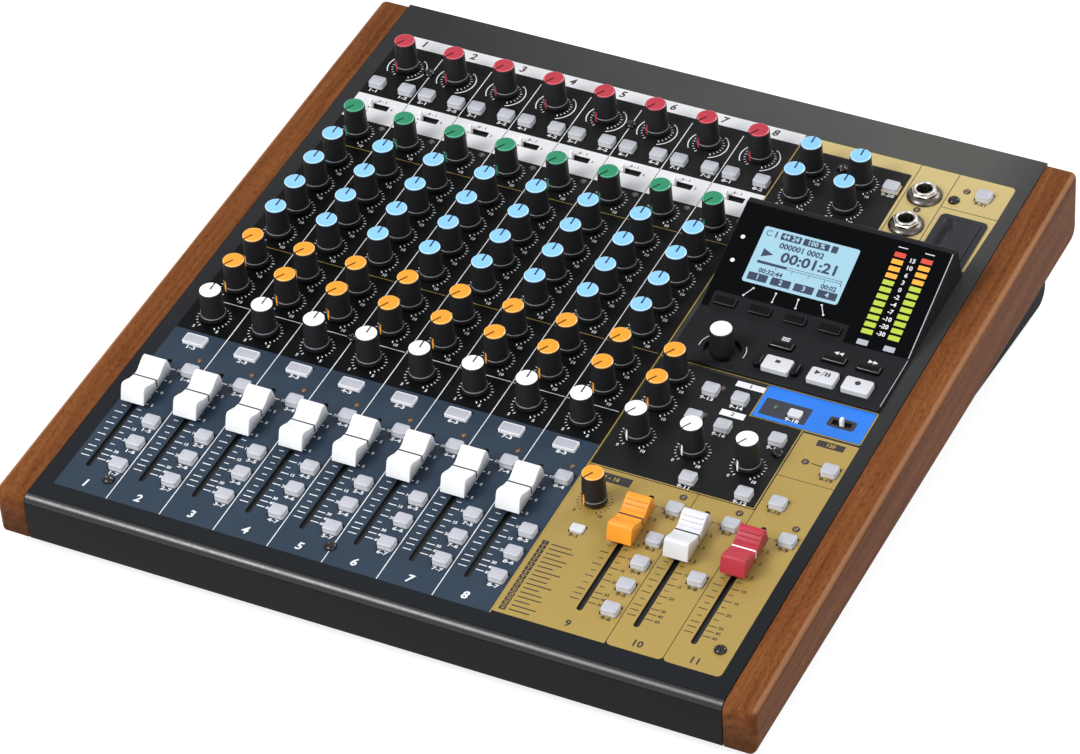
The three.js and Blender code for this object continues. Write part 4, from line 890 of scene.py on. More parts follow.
def jog_mesh(height=13.8, r=4.7):
    """The jog dial: a turned body and a faintly domed white cap."""
    shape = Shape()
    top = height - 0.45
    shape.lathe([(0.0, 0.8), (5.5, 0.8), (5.7, 1.0), (5.6, 3.1)], SIDES)
    shape.lathe([(5.6, 3.1), (5.0, top - 0.5), (4.9, top), (CAP_R, top)], SIDES)
    roll = [(r, -0.6), (r, -0.25), (r - 0.12, -0.08), (r - 0.35, 0), (r * 0.5, 0.06), (0.0, 0.08)]
    shape.lathe([(x, height + z) for x, z in roll], SIDES, 1)
    shape.disc((0, 0), CAP_R, 0, top, SIDES)
    return shape.mesh("jog_knob", "knob", "white")


KNOBS = {cap: knob_mesh(cap) for cap in ("red", "green", "blue", "orange", "white")}
for strip in range(8):
    for name, row, low, cap in CHANNEL_KNOBS:
        full = f"channel_{strip + 1}_{name}"
        node = None if strip else full + "_knob"
        put(full + "_dial", KNOBS[cap], cap, spot(strip, KNOB_X, row), low * LEAST, node)
for name, strip, column, row, low, cap in MASTER_KNOBS:
    full = name.replace("_knob", "_dial")
    put(full, KNOBS[cap], cap, spot(strip, column, row), low * LEAST, name)

# Faders

FRONT_SLOPE = [(-12, 2.9), (-11.95, 3.3), (-11.7, 4.6), (-11.2, 6.5), (-10.6, 8.5), (-10.2, 9.5)]
FRONT_SLOPE += [(-9.9, 10.0), (-9.5, 10.3), (-9.0, 10.4), (-8.4, 10.3), (-7.2, 9.9), (-6.0, 9.4)]
FRONT_SLOPE += [(-4.8, 8.8), (-3.8, 8.3), (-2.6, 7.9), (-1.5, 7.6), (-0.5, 7.4)]
REAR_SLOPE = [(0.5, 7.2), (1.4, 7.1), (2.4, 7.2), (3.4, 7.6), (4.4, 8.2), (5.4, 8.85), (6.4, 9.5)]
REAR_SLOPE += [(7.6, 10.2), (8.3, 10.5), (9.0, 10.6), (9.7, 10.5), (10.2, 10.15), (10.6, 9.5)]
REAR_SLOPE += [(11.2, 8.0), (11.7, 5.7), (11.95, 3.5), (12, 2.9)]
CAP_FOOT, CAP_HALF = 2.7, 5.45


def cap_ring(y, height, pull=0.0):
    """The fader cap's cross-section at y: upright sides and rounded top edges."""
    r = min(0.45, (height - CAP_FOOT) * 0.6)
    foot = CAP_HALF - pull
    half = [(foot, CAP_FOOT), (foot, height - r)] + arc(foot - r, height - r, r, 18, 90, 4)
    return [(-x, y, z) for x, z in half] + [(x, y, z) for x, z in half[::-1]]


def fader_mesh(name, colour, line, ribs=()):
    """A fader cap with a raised front and rear, a line across its valley, and ribs on some."""
    shape = Shape()
    for slope in (FRONT_SLOPE, REAR_SLOPE):
        shape.loft([cap_ring(*p) for p in slope])
    shape.loft([cap_ring(y, 3.4) for y in (-0.5, 0.5)], 0, False)
    shape.loft([cap_ring(y, 7.18, 0.06) for y in (-0.52, 0.52)], 1, False)
    for y, z in ribs:
        half = [(-0.45, -0.3), (-0.3, 0.18), (-0.12, 0.3)]
        bar = [(y + a, z + b) for a, b in half + [(-a, b) for a, b in half[::-1]]]
        shape.loft([upright(bar, x) for x in (4.5, -4.5)])
    stem = [(-0.8, -3), (0.8, -3), (0.8, 3), (-0.8, 3)]
    shape.loft([at_height(stem, z) for z in (-9.0, 3.2)], 2, False)
    return shape.mesh(name, colour, line, "hole")


RIBS = [(3.2, 7.55), (5.0, 8.65), (6.8, 9.85)]
FRONT_RIBS = [(-3.6, 8.2), (-5.4, 9.05)]
FADER_MESHES = {
    "plain": fader_mesh("fader_plain", "white", "notch"),
    "orange": fader_mesh("fader_orange", "orange", "notch", RIBS),
    "white": fader_mesh("fader_white", "pale", "notch", RIBS),
    "red": fader_mesh("fader_red", "red", "white", RIBS + FRONT_RIBS),
}
for name, strip, kind in FADERS:
    slot = "white" if kind == "plain" else kind
    put(name + "_cap", FADER_MESHES[kind], slot, spot(strip, SLOT_X, FADER_REST), node=name)

# Keys


def key_mesh(name, width, depth, height, crown, edge, mat, foot=KEY_FOOT, rim=None):
    """A soft-edged key cap: straight skirt, rolled edge and a gently crowned top."""
    corner = min(1.1, min(width, depth) * 0.2)
    shoulder = height - crown
    rolls = [(0, foot), (0, shoulder - edge)]
    for k in range(1, 6):
        a = math.pi / 2 * k / 5
        rolls.append((edge * (1 - math.cos(a)), shoulder - edge * (1 - math.sin(a))))
    rings = rolled(width, depth, corner, rolls, 0.4)
    top = rings[-1]
    for scale, part in ((0.75, 0.5), (0.45, 0.82), (0.15, 0.98)):
        z = height - crown * (1 - part)
        rings.append([(x * scale, y * scale, z) for x, y, _ in top])
    shape = Shape().loft(rings)
    if not rim:
        return shape.mesh(name, mat)
    # The rolled edge takes the rim material, a painted highlight.
    count = len(rings[0])
    shape.mats[2 * count : 4 * count] = [1] * (2 * count)
    return shape.mesh(name, mat, rim)


def lens_mesh():
    """The flat lit key: a clear lens sunk a little inside a bright rim."""
    rolls = ((0, KEY_FOOT), (0, 0.85), (0.15, 1.1), (0.35, 1.2), (0.55, 1.17), (0.7, 1.06))
    rings = rolled(*KEY_SIZES["lens"], 0.8, rolls)
    shape = Shape().loft(rings, caps=(True, False))
    shape.fill([(x, y) for x, y, _ in rings[-1]], rings[-1][0][2], 1)
    return shape.mesh("key_lens", "key", "lens")


KEYS = {
    "square": key_mesh("key_square", *KEY_SIZES["square"], 3.1, 0.5, 0.6, "key"),
    "lens": lens_mesh(),
    "flat": key_mesh("key_flat", *KEY_SIZES["flat"], 1.2, 0.1, 0.3, "key"),
}
for strip in range(8):
    for name, column, row, kind in CHANNEL_KEYS:
        full = f"channel_{strip + 1}_{name}"
        node = None if strip else full + "_button"
        put(full + "_key", KEYS[kind], "key", spot(strip, column, row), node=node)
for name, strip, column, row, kind in MASTER_KEYS:
    put(name + "_key", KEYS[kind], "key", spot(strip, column, row))

# Slide switches: a white lever in each dark well


def lever_mesh():
    rolls = ((0, KEY_FOOT), (0, 2.7), (0.1, 3.1), (0.35, 3.4))
    return Shape().loft(rolled(1.6, 2.2, 0.3, rolls, steps=3)).mesh("lever", "white")


LEVER = lever_mesh()
for strip in range(8):
    node = None if strip else "channel_1_mode_switch"
    at = spot(strip, MODE_X - 3.6, MODE_ROW)
    put(f"channel_{strip + 1}_mode_lever", LEVER, "white", at, node=node)
put("assign_lever", LEVER, "white", spot(11, ASSIGN_X, ASSIGN_ROW))

# Small lamps


def lamp_mesh(name, mat, r=1.05):
    """A small domed lens in a dark ring."""
    shape = Shape().lathe([(r + 0.6, 0.0), (r + 0.5, 0.3), (r + 0.1, 0.35), (r, 0.2)], 24, 1)
    shape.lathe([(r, 0.2), (r * 0.8, 0.5), (r * 0.45, 0.7), (0.0, 0.76)], 24)
    return shape.mesh(name, mat, "bezel")


AMBER, GREEN = lamp_mesh("lamp_amber_lens", "lamp"), lamp_mesh("lamp_dark_lens", "lamp_dark")
LAMPS = [(AMBER, s, 20.6, 75.0) for s in (*range(8), 9, 10, 11)]
LAMPS += [(GREEN, s, 22.0, 243.2) for s in range(8)]
LAMPS += [(AMBER, 11, 8.4, 113.3), (AMBER, 11, 6.5, 298.6), (GREEN, 10, 9.0, 139.4)]
LAMPS += [(AMBER, 9, 8.6, AUX1 + 0.9), (AMBER, 9, 8.2, AUX2 + 0.9), (AMBER, 10, 15.7, 279.2)]
for i, (mesh, *at) in enumerate(LAMPS):
    put(f"lamp_{i + 1}", mesh, "panel", spot(*at))

# Panel screws


def screw_mesh(name, r=2.6, height=1.5, groove=0.34, reach=1.45, depth=0.85):
    """A pan head with a cross recess, on a square grid drawn out to a disc."""
    lines = [0.0, groove - 0.06, groove, 0.7, 1.1, reach, reach + 0.08, 1.85, 2.15, 2.4, r]
    lines = [-v for v in lines[:0:-1]] + lines
    count = len(lines)
    verts = []
    for v in lines:
        for u in lines:
            x = u * math.sqrt(1 - (v / r) ** 2 / 2)
            y = v * math.sqrt(1 - (u / r) ** 2 / 2)
            z = height * math.sqrt(max(0.0, 1 - ((x * x + y * y) / r**2) ** 2 * 0.96))
            near, far = sorted((abs(u), abs(v)))
            if near < groove - 0.01 and far < reach + 0.01:
                z -= depth
            verts.append((x, y, z))
    starts = [i * count + j for i in range(count - 1) for j in range(count - 1)]
    shape = Shape().add(verts, [(a, a + 1, a + count + 1, a + count) for a in starts], 0, True)
    return shape.lathe([(r, 0.0), (r, 0.32)]).mesh(name, "screw")


SCREW = screw_mesh("panel_screw")
for i, at in enumerate(SCREWS):
    put(f"panel_screw_{i + 1}", SCREW, "steel", (*at, 0), 0.4 * i)

# Headphone sockets


def jack_mesh():
    """A dished ring, a six-sided nut with a rolled lip, and a plug bore."""
    ring = [(8.0, 0.0), (8.0, 0.4), (7.75, 0.9), (7.2, 1.5), (6.5, 2.0), (5.6, 2.3)]
    shape = Shape().lathe(ring, 56)
    hexagon, top = circle(0, 0, 6.1, 6), circle(0, 0, 6.1 * 0.86, 6)
    shape.tube([at_height(hexagon, 2.1), at_height(hexagon, 3.1), at_height(top, 3.6)], 1)
    shape.fill(top, 3.6, 1, [circle(0, 0, 4.6, 40)[::-1]])
    lip = [(5.0, 3.5), (5.0, 4.0), (4.85, 4.35), (4.5, 4.55), (4.0, 4.5), (3.65, 4.25)]
    shape.lathe(lip + [(3.5, 3.7), (3.5, 0.5)], 44, 1)
    shape.lathe([(3.5, 0.6), (3.4, -11.0), (0.0, -11.0)], 32, 2)
    return shape.mesh("phones_jack", "gunmetal", "chrome", "hole")


JACK = jack_mesh()
put("phones_jack_1", JACK, "plated", JACKS[0], node="phones_jack_board")
put("phones_jack_2", JACK, "plated", JACKS[1])

# Display housing: key shelf, raised wedge, window, and the card bay behind

X8 = left(8)
HX0, HX1 = X8 + 4, X8 + 100.4
# Heights of the shelf and of the wedge, and the rows where the slope starts and ends
SHELF, TALL, KINK, TOP = 1.6, 19.3, 184.8, 237.0
SLOPE = Vector((TOP - KINK, TALL - SHELF))
SCREEN = Matrix.Translation(Vector((0, KINK, SHELF)) * MM)
SCREEN @= Matrix.Rotation(math.atan2(SLOPE.y, SLOPE.x), 4, "X")
TRANSPORT = [
    ("menu_key", 47.0, 173.7, "small"),
    ("rewind_key", 71.1, 173.7, "small"),
    ("forward_key", 86.8, 173.7, "small"),
    ("stop_key", 50.5, 160.9, "wide"),
    ("play_key", 71.1, 160.9, "wide"),
    ("record_key", 86.8, 160.9, "wide"),
]
TRANSPORT_SIZES = {"small": (10.5, 4.6), "wide": (12.6, 8.4)}
TRANSPORT_TOP = 4.27
JOG = (X8 + 24.4, 162.4)


def key_shelf():
    holes = [circle(*JOG, 8.3, SIDES)]
    for _, column, row, kind in TRANSPORT:
        width, depth = (size + 2 * KEY_GAP for size in TRANSPORT_SIZES[kind])
        holes.append(boxed(X8 + column, row, width, depth, 0.8, 3))
    outer = rounded(HX0, HX1, 151.5, KINK, (1.5, 0, 0, 1.5))
    inner = [(min(max(x, HX0 + 0.35), HX1 - 0.35), max(y, 151.85)) for x, y in outer]
    shape = Shape().fill(inner, SHELF, 0, holes)
    shape.tube([at_height(outer, 0.2), at_height(outer, SHELF - 0.35), at_height(inner, SHELF)])
    for loop in holes:
        shape.wall(ccw(loop)[::-1], -2.5, SHELF, 1)
    shape.disc(JOG, 8.3, 1, -2.0, SIDES)
    shape.put("key_shelf", "housing", "plastic", "jet")


def wedge():
    """The raised block behind the shelf, with a rolled top edge and a sloping back."""
    side = [(KINK, 0.2), (245.5, 0.2), (245.2, 0.8), (240.9, TALL - 1.7), (240.3, TALL - 0.6)]
    side += [(239.2, TALL - 0.05), (238.2, TALL), (TOP, TALL), (KINK, SHELF)]
    ends = [(HX0, 0.5), (HX0 + 0.18, 0.15), (HX0 + 0.5, 0.0)]
    ends += [(HX0 + HX1 - x, pull) for x, pull in ends[::-1]]
    shape = Shape().loft([upright(inset(side, pull), x) for x, pull in ends], 0, False)
    shape.put("display_wedge", "housing", "plastic", node="display_housing")


def window():
    """The dark window over the whole slope, cut back round the four keys at its foot."""
    x0, x1, top = HX0 + 0.45, HX1 - 1.15, SLOPE.length - 0.4
    t0, t1 = X8 + 7.6, X8 + 69.9
    loop = [(x0, 0.8), (t0, 0.8), (t0, 7.6)] + arc(t0 + 1.4, 7.8, 1.4, 180, 90, 4)
    loop += arc(t1 - 1.4, 7.8, 1.4, 90, 0, 4) + [(t1, 0.8), (x1, 0.8)]
    loop += arc(x1 - 1.2, top - 1.2, 1.2, 0, 90, 5) + arc(x0 + 1.2, top - 1.2, 1.2, 90, 180, 5)
    glass = Shape().plate(loop, -0.6, 0.12)
    glass.put("display_glass", "glass", "gloss", node="display_window", matrix=SCREEN)
    # Light lines along the right edges of the slope and the shelf, painted highlights.
    edge = Shape().rect(HX1 - 0.95, HX1 - 0.55, 1.0, SLOPE.length - 0.6, 0, 0.1)
    edge.put("display_edge_highlight", "housing", "edge", matrix=SCREEN)
    edge = Shape().rect(HX1 - 0.75, HX1 - 0.45, 154.0, KINK, 0, SHELF + 0.03)
    edge.put("shelf_edge_highlight", "housing", "edge")


def screen():
    """The lit screen, with plain dark numbers and bars, and light numbers on the bars."""
    dark, over, labels = 0.2, 0.23, (22.9, 33.6, 44.2, 55.0)
    lcd = Shape().fill(rounded(X8 + 16.7, X8 + 60.9, 16.7, 45.3, 1.2), 0.16)
    ends = ((25.2, 34.5), (35.6, 47.5), (48.6, 51.4))
    bars = [rounded(X8 + a, X8 + b, 40.6, 44.0, 0.4, 2) for a, b in ends]
    for bar in bars + [boxed(X8 + x, 20.1, 9.0, 3.8, 0.3, 2) for x in labels]:
        lcd.fill(bar, dark, 1)
    for words, x, y, size in (
        ("1", 22.9, 42.2, 4.2),
        ("000001 0002", 36.5, 37.6, 3.9),
        ("00:32:44", 27.5, 23.6, 3.2),
        ("00:02", 54.4, 23.6, 3.2),
    ):
        lcd.text(words, (X8 + x, y), size, 1, dark)
    lcd.text("00:01:21", (X8 + 42.4, 32.2), 7.0, 1, dark, stretch=1.12)
    numbers = [("44 24", 29.8, 42.3), ("100 %", 41.5, 42.3)]
    numbers += [(str(k + 1), x, 20.1) for k, x in enumerate(labels)]
    for words, x, y in numbers:
        lcd.text(words, (X8 + x, y), 3.3, 0, over)
    lcd.arc_line((X8 + 19.8, 42.3), 1.3, 40, 330, 0.35, 1, dark, 14)
    lcd.face([(X8 + 20.3, 30.3), (X8 + 25.4, 32.4), (X8 + 20.3, 34.5)], 1, dark)
    lcd.rect(X8 + 19.8, X8 + 33.4, 27.0, 28.3, 1, dark)
    lines = [(33.0, y, 58.8, y, 0.22) for y in (28.2, 27.1)] + [(58.7, 26.6, 58.7, 28.7, 0.22)]
    lines += [(x, 25.6, x, 26.6, 0.3) for x in (29, 36.5, 44, 51.5, 59)]
    for x0, y0, x1, y1, width in lines:
        lcd.line((X8 + x0, y0), (X8 + x1, y1), width, 1, dark)
    lcd.put("display_screen", "glass", "screen", "pixel", matrix=SCREEN)


def window_marks():
    """What is printed on the window, the meter lamps under it, and the keys at its foot."""
    marks, meter, z = Shape(), Shape(), 0.18
    for row in (37.3, 25.1):
        marks.disc((X8 + 9.2, row), 1.0, 0, z)
    leads = [(20.4, 10.0, 23.3, 14.5), (33.6, 10.3, 33.7, 14.7)]
    leads += [(44.4, 10.3, 44.1, 14.6), (57.1, 10.6, 54.7, 15.0)]
    for x0, y0, x1, y1 in leads:
        ends = (X8 + x0, y0), (X8 + x1, y1)
        marks.line(*ends, 0.35, 0, z)
        for end in ends:
            marks.disc(end, 0.5, 0, z, 10)
    for k, words in enumerate(("15", "10", "6", "3", "0", "-2", "-4", "-7", "-10", "-20", "-30")):
        marks.text(words, (X8 + 84.1, 46.4 - 3.75 * k), 3.0, 0, z)
    for x in (X8 + 78.0, X8 + 90.2):
        marks.fill(boxed(x, 2.9, 5.0, 2.6, 0.3, 2), z, 1)
        marks.line((x - 2.2, 51.6), (x + 2.2, 51.6), 0.4, 0, z)
        for k, mat in enumerate([0] * 8 + [1] * 3 + [2]):
            meter.fill(boxed(x, 8.45 + 3.58 * k, 5.1, 2.4, 0.2, 2), 0.17, mat)
    marks.put("display_marks", "glass", "white_ink", "lens", matrix=SCREEN)
    meter.put("level_meter", "glass", "led_green", "led_amber", "led_red", matrix=SCREEN)
    soft = key_mesh("soft_key", 10.0, 4.4, 1.8, 0.12, 0.5, "jet", -0.4, "glint")
    for i in range(4):
        at = Matrix.Translation(Vector((X8 + 14.2 + 16.1 * i, 4.6, 0)) * MM)
        put(f"soft_key_{i + 1}", soft, "housing", matrix=SCREEN @ at)


def transport():
    """The six keys, the guards beside the stop key, and the marks on keys and shelf."""
    sizes, top, shelf = TRANSPORT_SIZES, TRANSPORT_TOP, SHELF + 0.04
    wide = key_mesh("wide_key", *sizes["wide"], 4.25, 0.3, 0.7, "key_white")
    small = key_mesh("small_key", *sizes["small"], 3.4, 0.2, 0.8, "jet", rim="glint")
    caps = {"wide": (wide, "white"), "small": (small, "black")}
    for name, column, row, kind in TRANSPORT:
        put(name + "_cap", *caps[kind], spot(8, column, row), node=name)
    guard = Shape()
    rolls = ((0, 1.5), (0, 3.3), (0.15, 3.7), (0.5, 4.0), (0.9, 4.1))
    for x in (-8.425, 8.425):
        guard.loft(rolled(3.35, 7.2, 1.3, rolls, 1, (x, 0)))
    guard.put("stop_key_guards", "housing", "jet", at=spot(8, 50.5, 160.9))
    stop = Shape().rect(-1.1, 1.1, -0.9, 0.9, 0, top)
    play = Shape().face([(-3.6, -1.2), (-0.9, 0.1), (-3.6, 1.4)], 0, top)
    play.line((-0.5, -1.3), (0.5, 1.5), 0.35, 0, top)
    for x in (1.4, 2.7):
        play.rect(x - 0.4, x + 0.4, -1.1, 1.3, 0, top)
    record = Shape().disc((0, 0), 1.3, 0, top)
    for name, mark, *at in (
        ("stop", stop, 50.5, 161.5), ("play", play, 71.1, 161.4), ("record", record, 86.8, 161.4)
    ):
        mark.put(name + "_mark", "white", "black_ink", body=name + "_key", at=spot(8, *at))
    marks = Shape()
    for column, way in ((71.1, -1), (86.8, 1)):
        for x in (X8 + column - 1.1, X8 + column + 1.1):
            back, tip = x - way * 1.05, x + way * 1.05
            marks.face([(back, 177.3), (tip, 178.4), (back, 179.5)], 0, shelf)
    for a0, a1 in ((-10, 30), (140, 185)):
        marks.arc_line(JOG, 10.4, a0, a1, 0.3, 0, shelf, 8)
    for row in (177.4, 178.3, 179.2):
        marks.line((X8 + 45.2, row), (X8 + 48.8, row), 0.45, 0, shelf)
    marks.put("shelf_marks", "housing", "white_ink")


key_shelf()
wedge()
window()
screen()
window_marks()
transport()
put("jog_dial_cap", jog_mesh(), "white", (*JOG, 0), node="jog_dial")

# Card bay and its door

BAY = (X8 + 78.1, X8 + 97.6, 245.5, 279.8)
RIM, SCOOP, DOOR_GAP = 1.2, 5.3, 0.3


def card_bay():
    """The moulded frame of the card bay, with a finger scoop along its left side."""
    x0, x1, y0, y1 = BAY
    outside = rounded(x0 - RIM, x1 + RIM, y0 - RIM, y1 + RIM, 2.6, 6)
    inside = rounded(x0 + RIM, x1 - RIM, y0 + RIM, y1 - RIM, 1.6, 6)
    edge_out, edge_in = inset(outside, 0.25), inset(inside, -0.1)
    shape = Shape().fill(edge_out, 0.9, 0, [edge_in[::-1]])
    shape.tube([at_height(outside, 0.0), at_height(outside, 0.7), at_height(edge_out, 0.9)])
    shape.tube([at_height(edge_in, 0.9), at_height(inside, 0.8), at_height(inside, -9.0)])
    shape.fill(inside, -8.9, 1)
    rows = []
    for k in range(12, -1, -1):
        dip = 3.6 * math.sin(math.pi * 0.56 * k / 12) ** 1.3
        row = []
        for j in range(15):
            y = y0 + RIM + (y1 - y0 - 2 * RIM) * j / 14
            near = min(1.0, (y1 - RIM - y) / 4.0)
            z = 0.8 - dip * math.sin(math.pi / 2 * near) ** 0.8
            row.append((x0 + RIM + SCOOP * k / 12, y, z))
        rows.append(row)
    shape.sheet(rows, 0, True).put("card_bay", "housing", "door", "hole")


def card_door():
    """The door of the bay, a plate with a rounded hinge barrel along its right edge."""
    x0, x1 = BAY[0] + RIM + SCOOP + DOOR_GAP, BAY[1] - RIM - DOOR_GAP
    y0, y1 = BAY[2] + RIM + DOOR_GAP, BAY[3] - RIM - DOOR_GAP
    side = [(x0, -0.7), (x1 - 0.8, -0.7)] + arc(x1 - 0.8, 0.1, 0.8, -90, 90, 8)
    side += [(x0 + 0.5, 0.9), (x0 + 0.15, 0.78), (x0, 0.4)]
    ends = ((y1, 0.15), (y1 - 0.15, 0.0), (y0 + 0.15, 0.0), (y0, 0.15))
    shape = Shape().loft([[(p.x, y, p.y) for p in inset(side, pull)] for y, pull in ends], 0, False)
    shape.rect(x1 - 2.5, x1 - 2.2, y0 + 0.3, y1 - 0.3, 1, 0.915)
    shape.put("card_door", "housing", "door", "hole", node="card_slot_door")


card_bay()
card_door()

# Chassis, rear panel, board, feet and rocker keep their CAD shapes

CARRIED = {"chassis": "steel", "rear_panel": "steel"}
CARRIED.update(control_board="board", power_rocker="jet")
for corner in ("front_left", "front_right", "rear_left", "rear_right"):
    CARRIED[corner + "_foot"] = "rubber"
for node, key in CARRIED.items():
    for slot in NODES[node].material_slots:
        slot.material = M[key]

# Rear sockets: nuts, contact faces, screws and numbers over the CAD panel

BACK = Matrix(((-1, 0, 0, 0), (0, 0, 1, REAR * MM), (0, 1, 0, 0), (0, 0, 0, 1)))
FACE = ("jet", "chrome", "hole")


def socket_at(column, upper):
    return 27.0 * (5 - column), -20.0 if upper else -48.0


def on_back(name, mesh, at, turn=0.0):
    spin = Matrix.Translation(Vector((*at, 0)) * MM) @ Matrix.Rotation(turn, 4, "Z")
    put(name, mesh, "steel", matrix=BACK @ spin)


def round_socket(name, pins):
    """A round three-pole socket face, with a plug bore in its middle or with standing pins."""
    flange = ((11.6, 0), (11.6, 0.4), (11.2, 0.7), (9.3, 0.7), (9.1, 0.5), (9.1, -3.4))
    shape = Shape().lathe(flange, 48)
    poles = [polar((0, 0), 5.6 * (0.72 if pins else 1.12), a) for a in (30, 150, 270)]
    if pins:
        shape.disc((0, 0), 9.15, 0, -8.0, 48)
        shape.lathe(((9.1, -3.4), (9.1, -8.0)), 48)
        for pole in poles:
            shape.lathe(((1.1, -8.0), (1.1, -1.6), (0.8, -1.1), (0, -1.0)), 14, 1, pole)
    else:
        holes = [circle(0, 0, 3.3, 28)] + [circle(*pole, 1.1, 14) for pole in poles]
        shape.fill(circle(0, 0, 9.12, 48), -2.6, 0, holes)
        bore = ((4.3, -2.6), (4.3, -2.1), (4.1, -1.9), (3.4, -1.9), (3.3, -2.1), (3.3, -12))
        shape.lathe(bore, 28, 1)
        for pole in poles:
            shape.lathe(((1.1, -2.6), (1.1, -9)), 14, 2, pole)
        shape.disc((0, 0), 9.1, 2, -12.0, 28)
    shape.plate(rounded(-2.6, 2.6, 9.3, 12.7, 0.8, 4), 0.0, 1.3, 1)
    return shape.mesh(name, *FACE)


def plug_socket(name, pin):
    """A nut and a plug bore, with a pin in it for power."""
    nut = ((7.6, 0), (7.6, 1.2), (7.3, 1.5), (6.2, 1.5), (6.2, 2.6), (5.9, 2.9), (4.3, 2.9))
    shape = Shape().lathe(nut).lathe(((4.3, 2.9), (3.6, 2.9), (3.35, 2.6), (3.35, -9)), 40, 1)
    shape.disc((0, 0), 3.36, 2, -9, 40)
    if pin:
        shape.lathe(((0.9, -9), (0.9, 0.6), (0.6, 1.0), (0, 1.05)), 16, 1)
    return shape.mesh(name, *FACE)


# Rear sockets by column, and 1 for the upper row
COMBINATION_SOCKETS = [(column, 0) for column in range(6)]
LINE_SOCKETS = [(column, 1) for column in (0, 1, 2, 6, 7, 8, 9, 10)]
LINE_SOCKETS += [(column, 0) for column in (6, 7, 8)]
for name, mesh, spots in (
    ("combination_socket", round_socket("combination_face", False), COMBINATION_SOCKETS),
    ("main_output", round_socket("output_face", True), [(9, 0), (10, 0)]),
    ("line_socket", plug_socket("line_socket_face", False), LINE_SOCKETS),
):
    for i, at in enumerate(spots):
        on_back(f"{name}_{i + 1}", mesh, socket_at(*at))
on_back("power_inlet", plug_socket("power_inlet_face", True), socket_at(4, True))
mouth = boxed(0, 0, 8.2, 7.2, 0.5, 3)[::-1]
shell = Shape().plate(boxed(0, 0, 11.2, 10.2, 1.0, 4), -6, 0.5, 0, [mouth])
shell.plate(boxed(0, 0, 5.6, 3.0, 0.3, 3), -10, -1.4, 1)
on_back("data_socket_shell", shell.mesh("data_socket_shell", "chrome", "key"), socket_at(3, True))
mouth = boxed(0, 0, 12.4, 9.6, 0.4, 3)[::-1]
bezel = Shape().plate(boxed(0, 0, 16.4, 12.8, 1.2, 4), 0, 1.1, 0, [mouth])
on_back("rocker_bezel", bezel.mesh("rocker_bezel", "jet"), socket_at(5, True))
rear_ink = Shape()
for column in range(11):
    x = socket_at(column, True)[0]
    low = -34.2 if column < 6 or column > 8 else -37.6
    for number, row in ((column + 1, -8.8), (column + 12, low)):
        rear_ink.text(str(number), (x, row), 3.2, 0, 0.05)
    if column not in (5, 8):
        rear_ink.line((x - 13.5, -33.5), (x - 13.5, -61), 0.3, 0, 0.05)
rear_ink.line((-148, -31.4), (148, -31.4), 0.3, 0, 0.05)
rear_ink.line((-1.6, -29.2), (1.6, -29.2), 0.5)
rear_ink.arc_line((8.5, -29.2), 1.4, 0, 360, 0.4, steps=24)
rear_ink.put("rear_panel_print", "steel", "white_ink", matrix=BACK)
REAR_SCREWS = [(x, y) for x in (-152, -94.5, -13.5, 40.5, 94.5, 152) for y in (-5.2, -64.5)]
for column in (0, 1, 2, 3, 4, 5, 9, 10):
    x, y = socket_at(column, False)
    REAR_SCREWS += [(x - 10.3, y + 9.2), (x + 10.3, y - 9.2)]
REAR_SCREW = screw_mesh("rear_screw")
REAR_SCREW.transform(Matrix.Scale(0.72, 4))
for i, at in enumerate(REAR_SCREWS):
    on_back(f"rear_screw_{i + 1}", REAR_SCREW, at, 0.5 * i)

# Painted shade: dark sheets under the slots, the slide switches and the jog dial

shade_sheet, deep = Shape(), -1.62
for x in SLOT_COLUMNS:
    shade_sheet.rect(x - 3.5, x + 3.5, -3, 75, 0, deep)
for x in (left(strip) for strip in range(8)):
    shade_sheet.rect(x + 5.5, x + 19.5, 252.5, 261, 0, deep)
shade_sheet.rect(left(11) + 7.5, left(11) + 19.5, 135.5, 144, 0, deep)
shade_sheet.disc(JOG, 10.5, 0, deep, 36)
shade_sheet.put("slot_shade_sheets", "board", "hole")

# Camera, from the solved view: its place and axes on the deck, and the picture's size in pixels

EYE = (701.8, -1162.1, 1308.1)
RIGHT, DOWN = Vector((0.9079, 0.4168, -0.0447)), Vector((0.2489, -0.6218, -0.7426))
AHEAD = Vector((-0.3374, 0.6631, -0.6682))
FRAME_WIDTH, FRAME_HEIGHT, FOCAL, CENTRE = 1080, 754, 4650.9, (625.1, 371.9)
SENSOR = 36.0


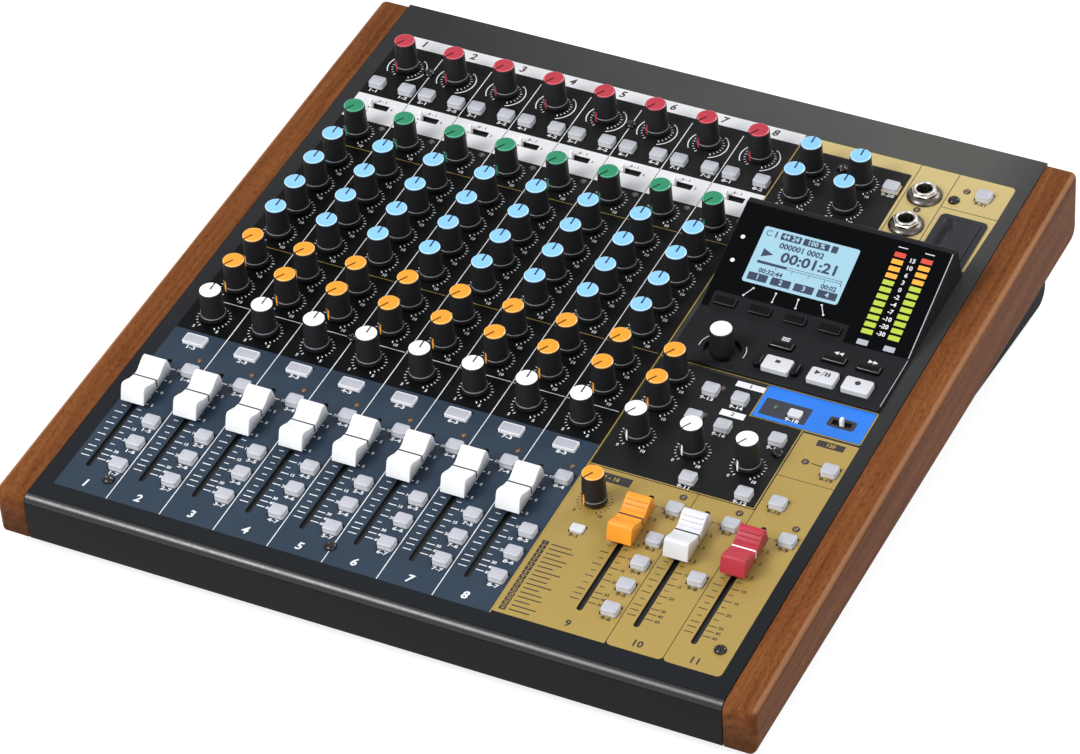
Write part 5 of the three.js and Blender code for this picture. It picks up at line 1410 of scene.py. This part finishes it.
def camera():
    data = bpy.data.cameras.new("camera")
    cam = add_object("camera", data)
    turn = DECK.to_3x3() @ Matrix((RIGHT, -DOWN, -AHEAD)).transposed()
    cam.matrix_world = Matrix.Translation(DECK @ (Vector(EYE) * MM)) @ turn.to_4x4()
    data.sensor_width = SENSOR
    data.lens = FOCAL / FRAME_WIDTH * SENSOR
    data.shift_x = (FRAME_WIDTH / 2 - CENTRE[0]) / FRAME_WIDTH
    data.shift_y = (CENTRE[1] - FRAME_HEIGHT / 2) / FRAME_WIDTH
    data.clip_start, data.clip_end = 0.05, 50
    bpy.context.scene.camera = cam


def light(name, at, target_height, size, power):
    """An area lamp that points at the middle of the object."""
    data = bpy.data.lights.new(name, "AREA")
    data.shape, data.energy = "RECTANGLE", power
    data.size, data.size_y = size
    obj = add_object(name, data)
    obj.location = at
    aim = Vector((0, 0, target_height)) - Vector(at)
    obj.rotation_euler = aim.to_track_quat("-Z", "Y").to_euler()


def world():
    """Soft cool light from all round, and plain white where the background is seen."""
    n = Nodes(bpy.data.worlds.new("studio"))
    bpy.context.scene.world = n.data
    soft = n.assign(n.tree.nodes["Background"], Color=(0.93, 0.95, 1.0, 1), Strength=0.32)
    white = n.node("Background", Color=(1, 1, 1, 1), Strength=1.0)
    n.assign(n.tree.nodes["World Output"], Surface=n.where_seen(soft.outputs[0], white.outputs[0]))


def floor(half=6.0):
    """A pale floor that keeps the shadow, and looks white where it is seen."""
    me = bpy.data.meshes.new("floor")
    me.from_pydata(at_height(rounded(-half, half, -half, half), 0), [], [(0, 1, 2, 3)])
    obj = add_object("floor", me)
    n = new_material("floor_white")
    pale = n.ramp(n.noise(3.0, 3.0), (0.2, (168, 168, 170)), (0.8, (172, 172, 174)))
    base = n.assign(n.tree.nodes["Principled BSDF"], Base_Color=pale, Roughness=0.85).outputs[0]
    lit = n.pair("AddShader", base, n.node("Emission", Strength=0.8).outputs[0])
    n.assign(n.tree.nodes["Material Output"], Surface=n.where_seen(base, lit))
    me.materials.append(n.data)


camera()
world()
floor()
light("front_key", (-0.62, -1.05, 1.2), 0.05, (0.9, 0.9), 20.0)
light("front_glint", (-0.66, -1.07, 1.08), 0.05, (0.35, 0.35), 7.0)
light("rear_strip", (0.62, 0.95, 1.2), 0.05, (0.7, 0.4), 10.0)
light("right_fill", (1.2, -0.7, 0.7), 0.03, (0.8, 0.8), 4.5)
bpy.context.scene.view_settings.view_transform = "Standard"
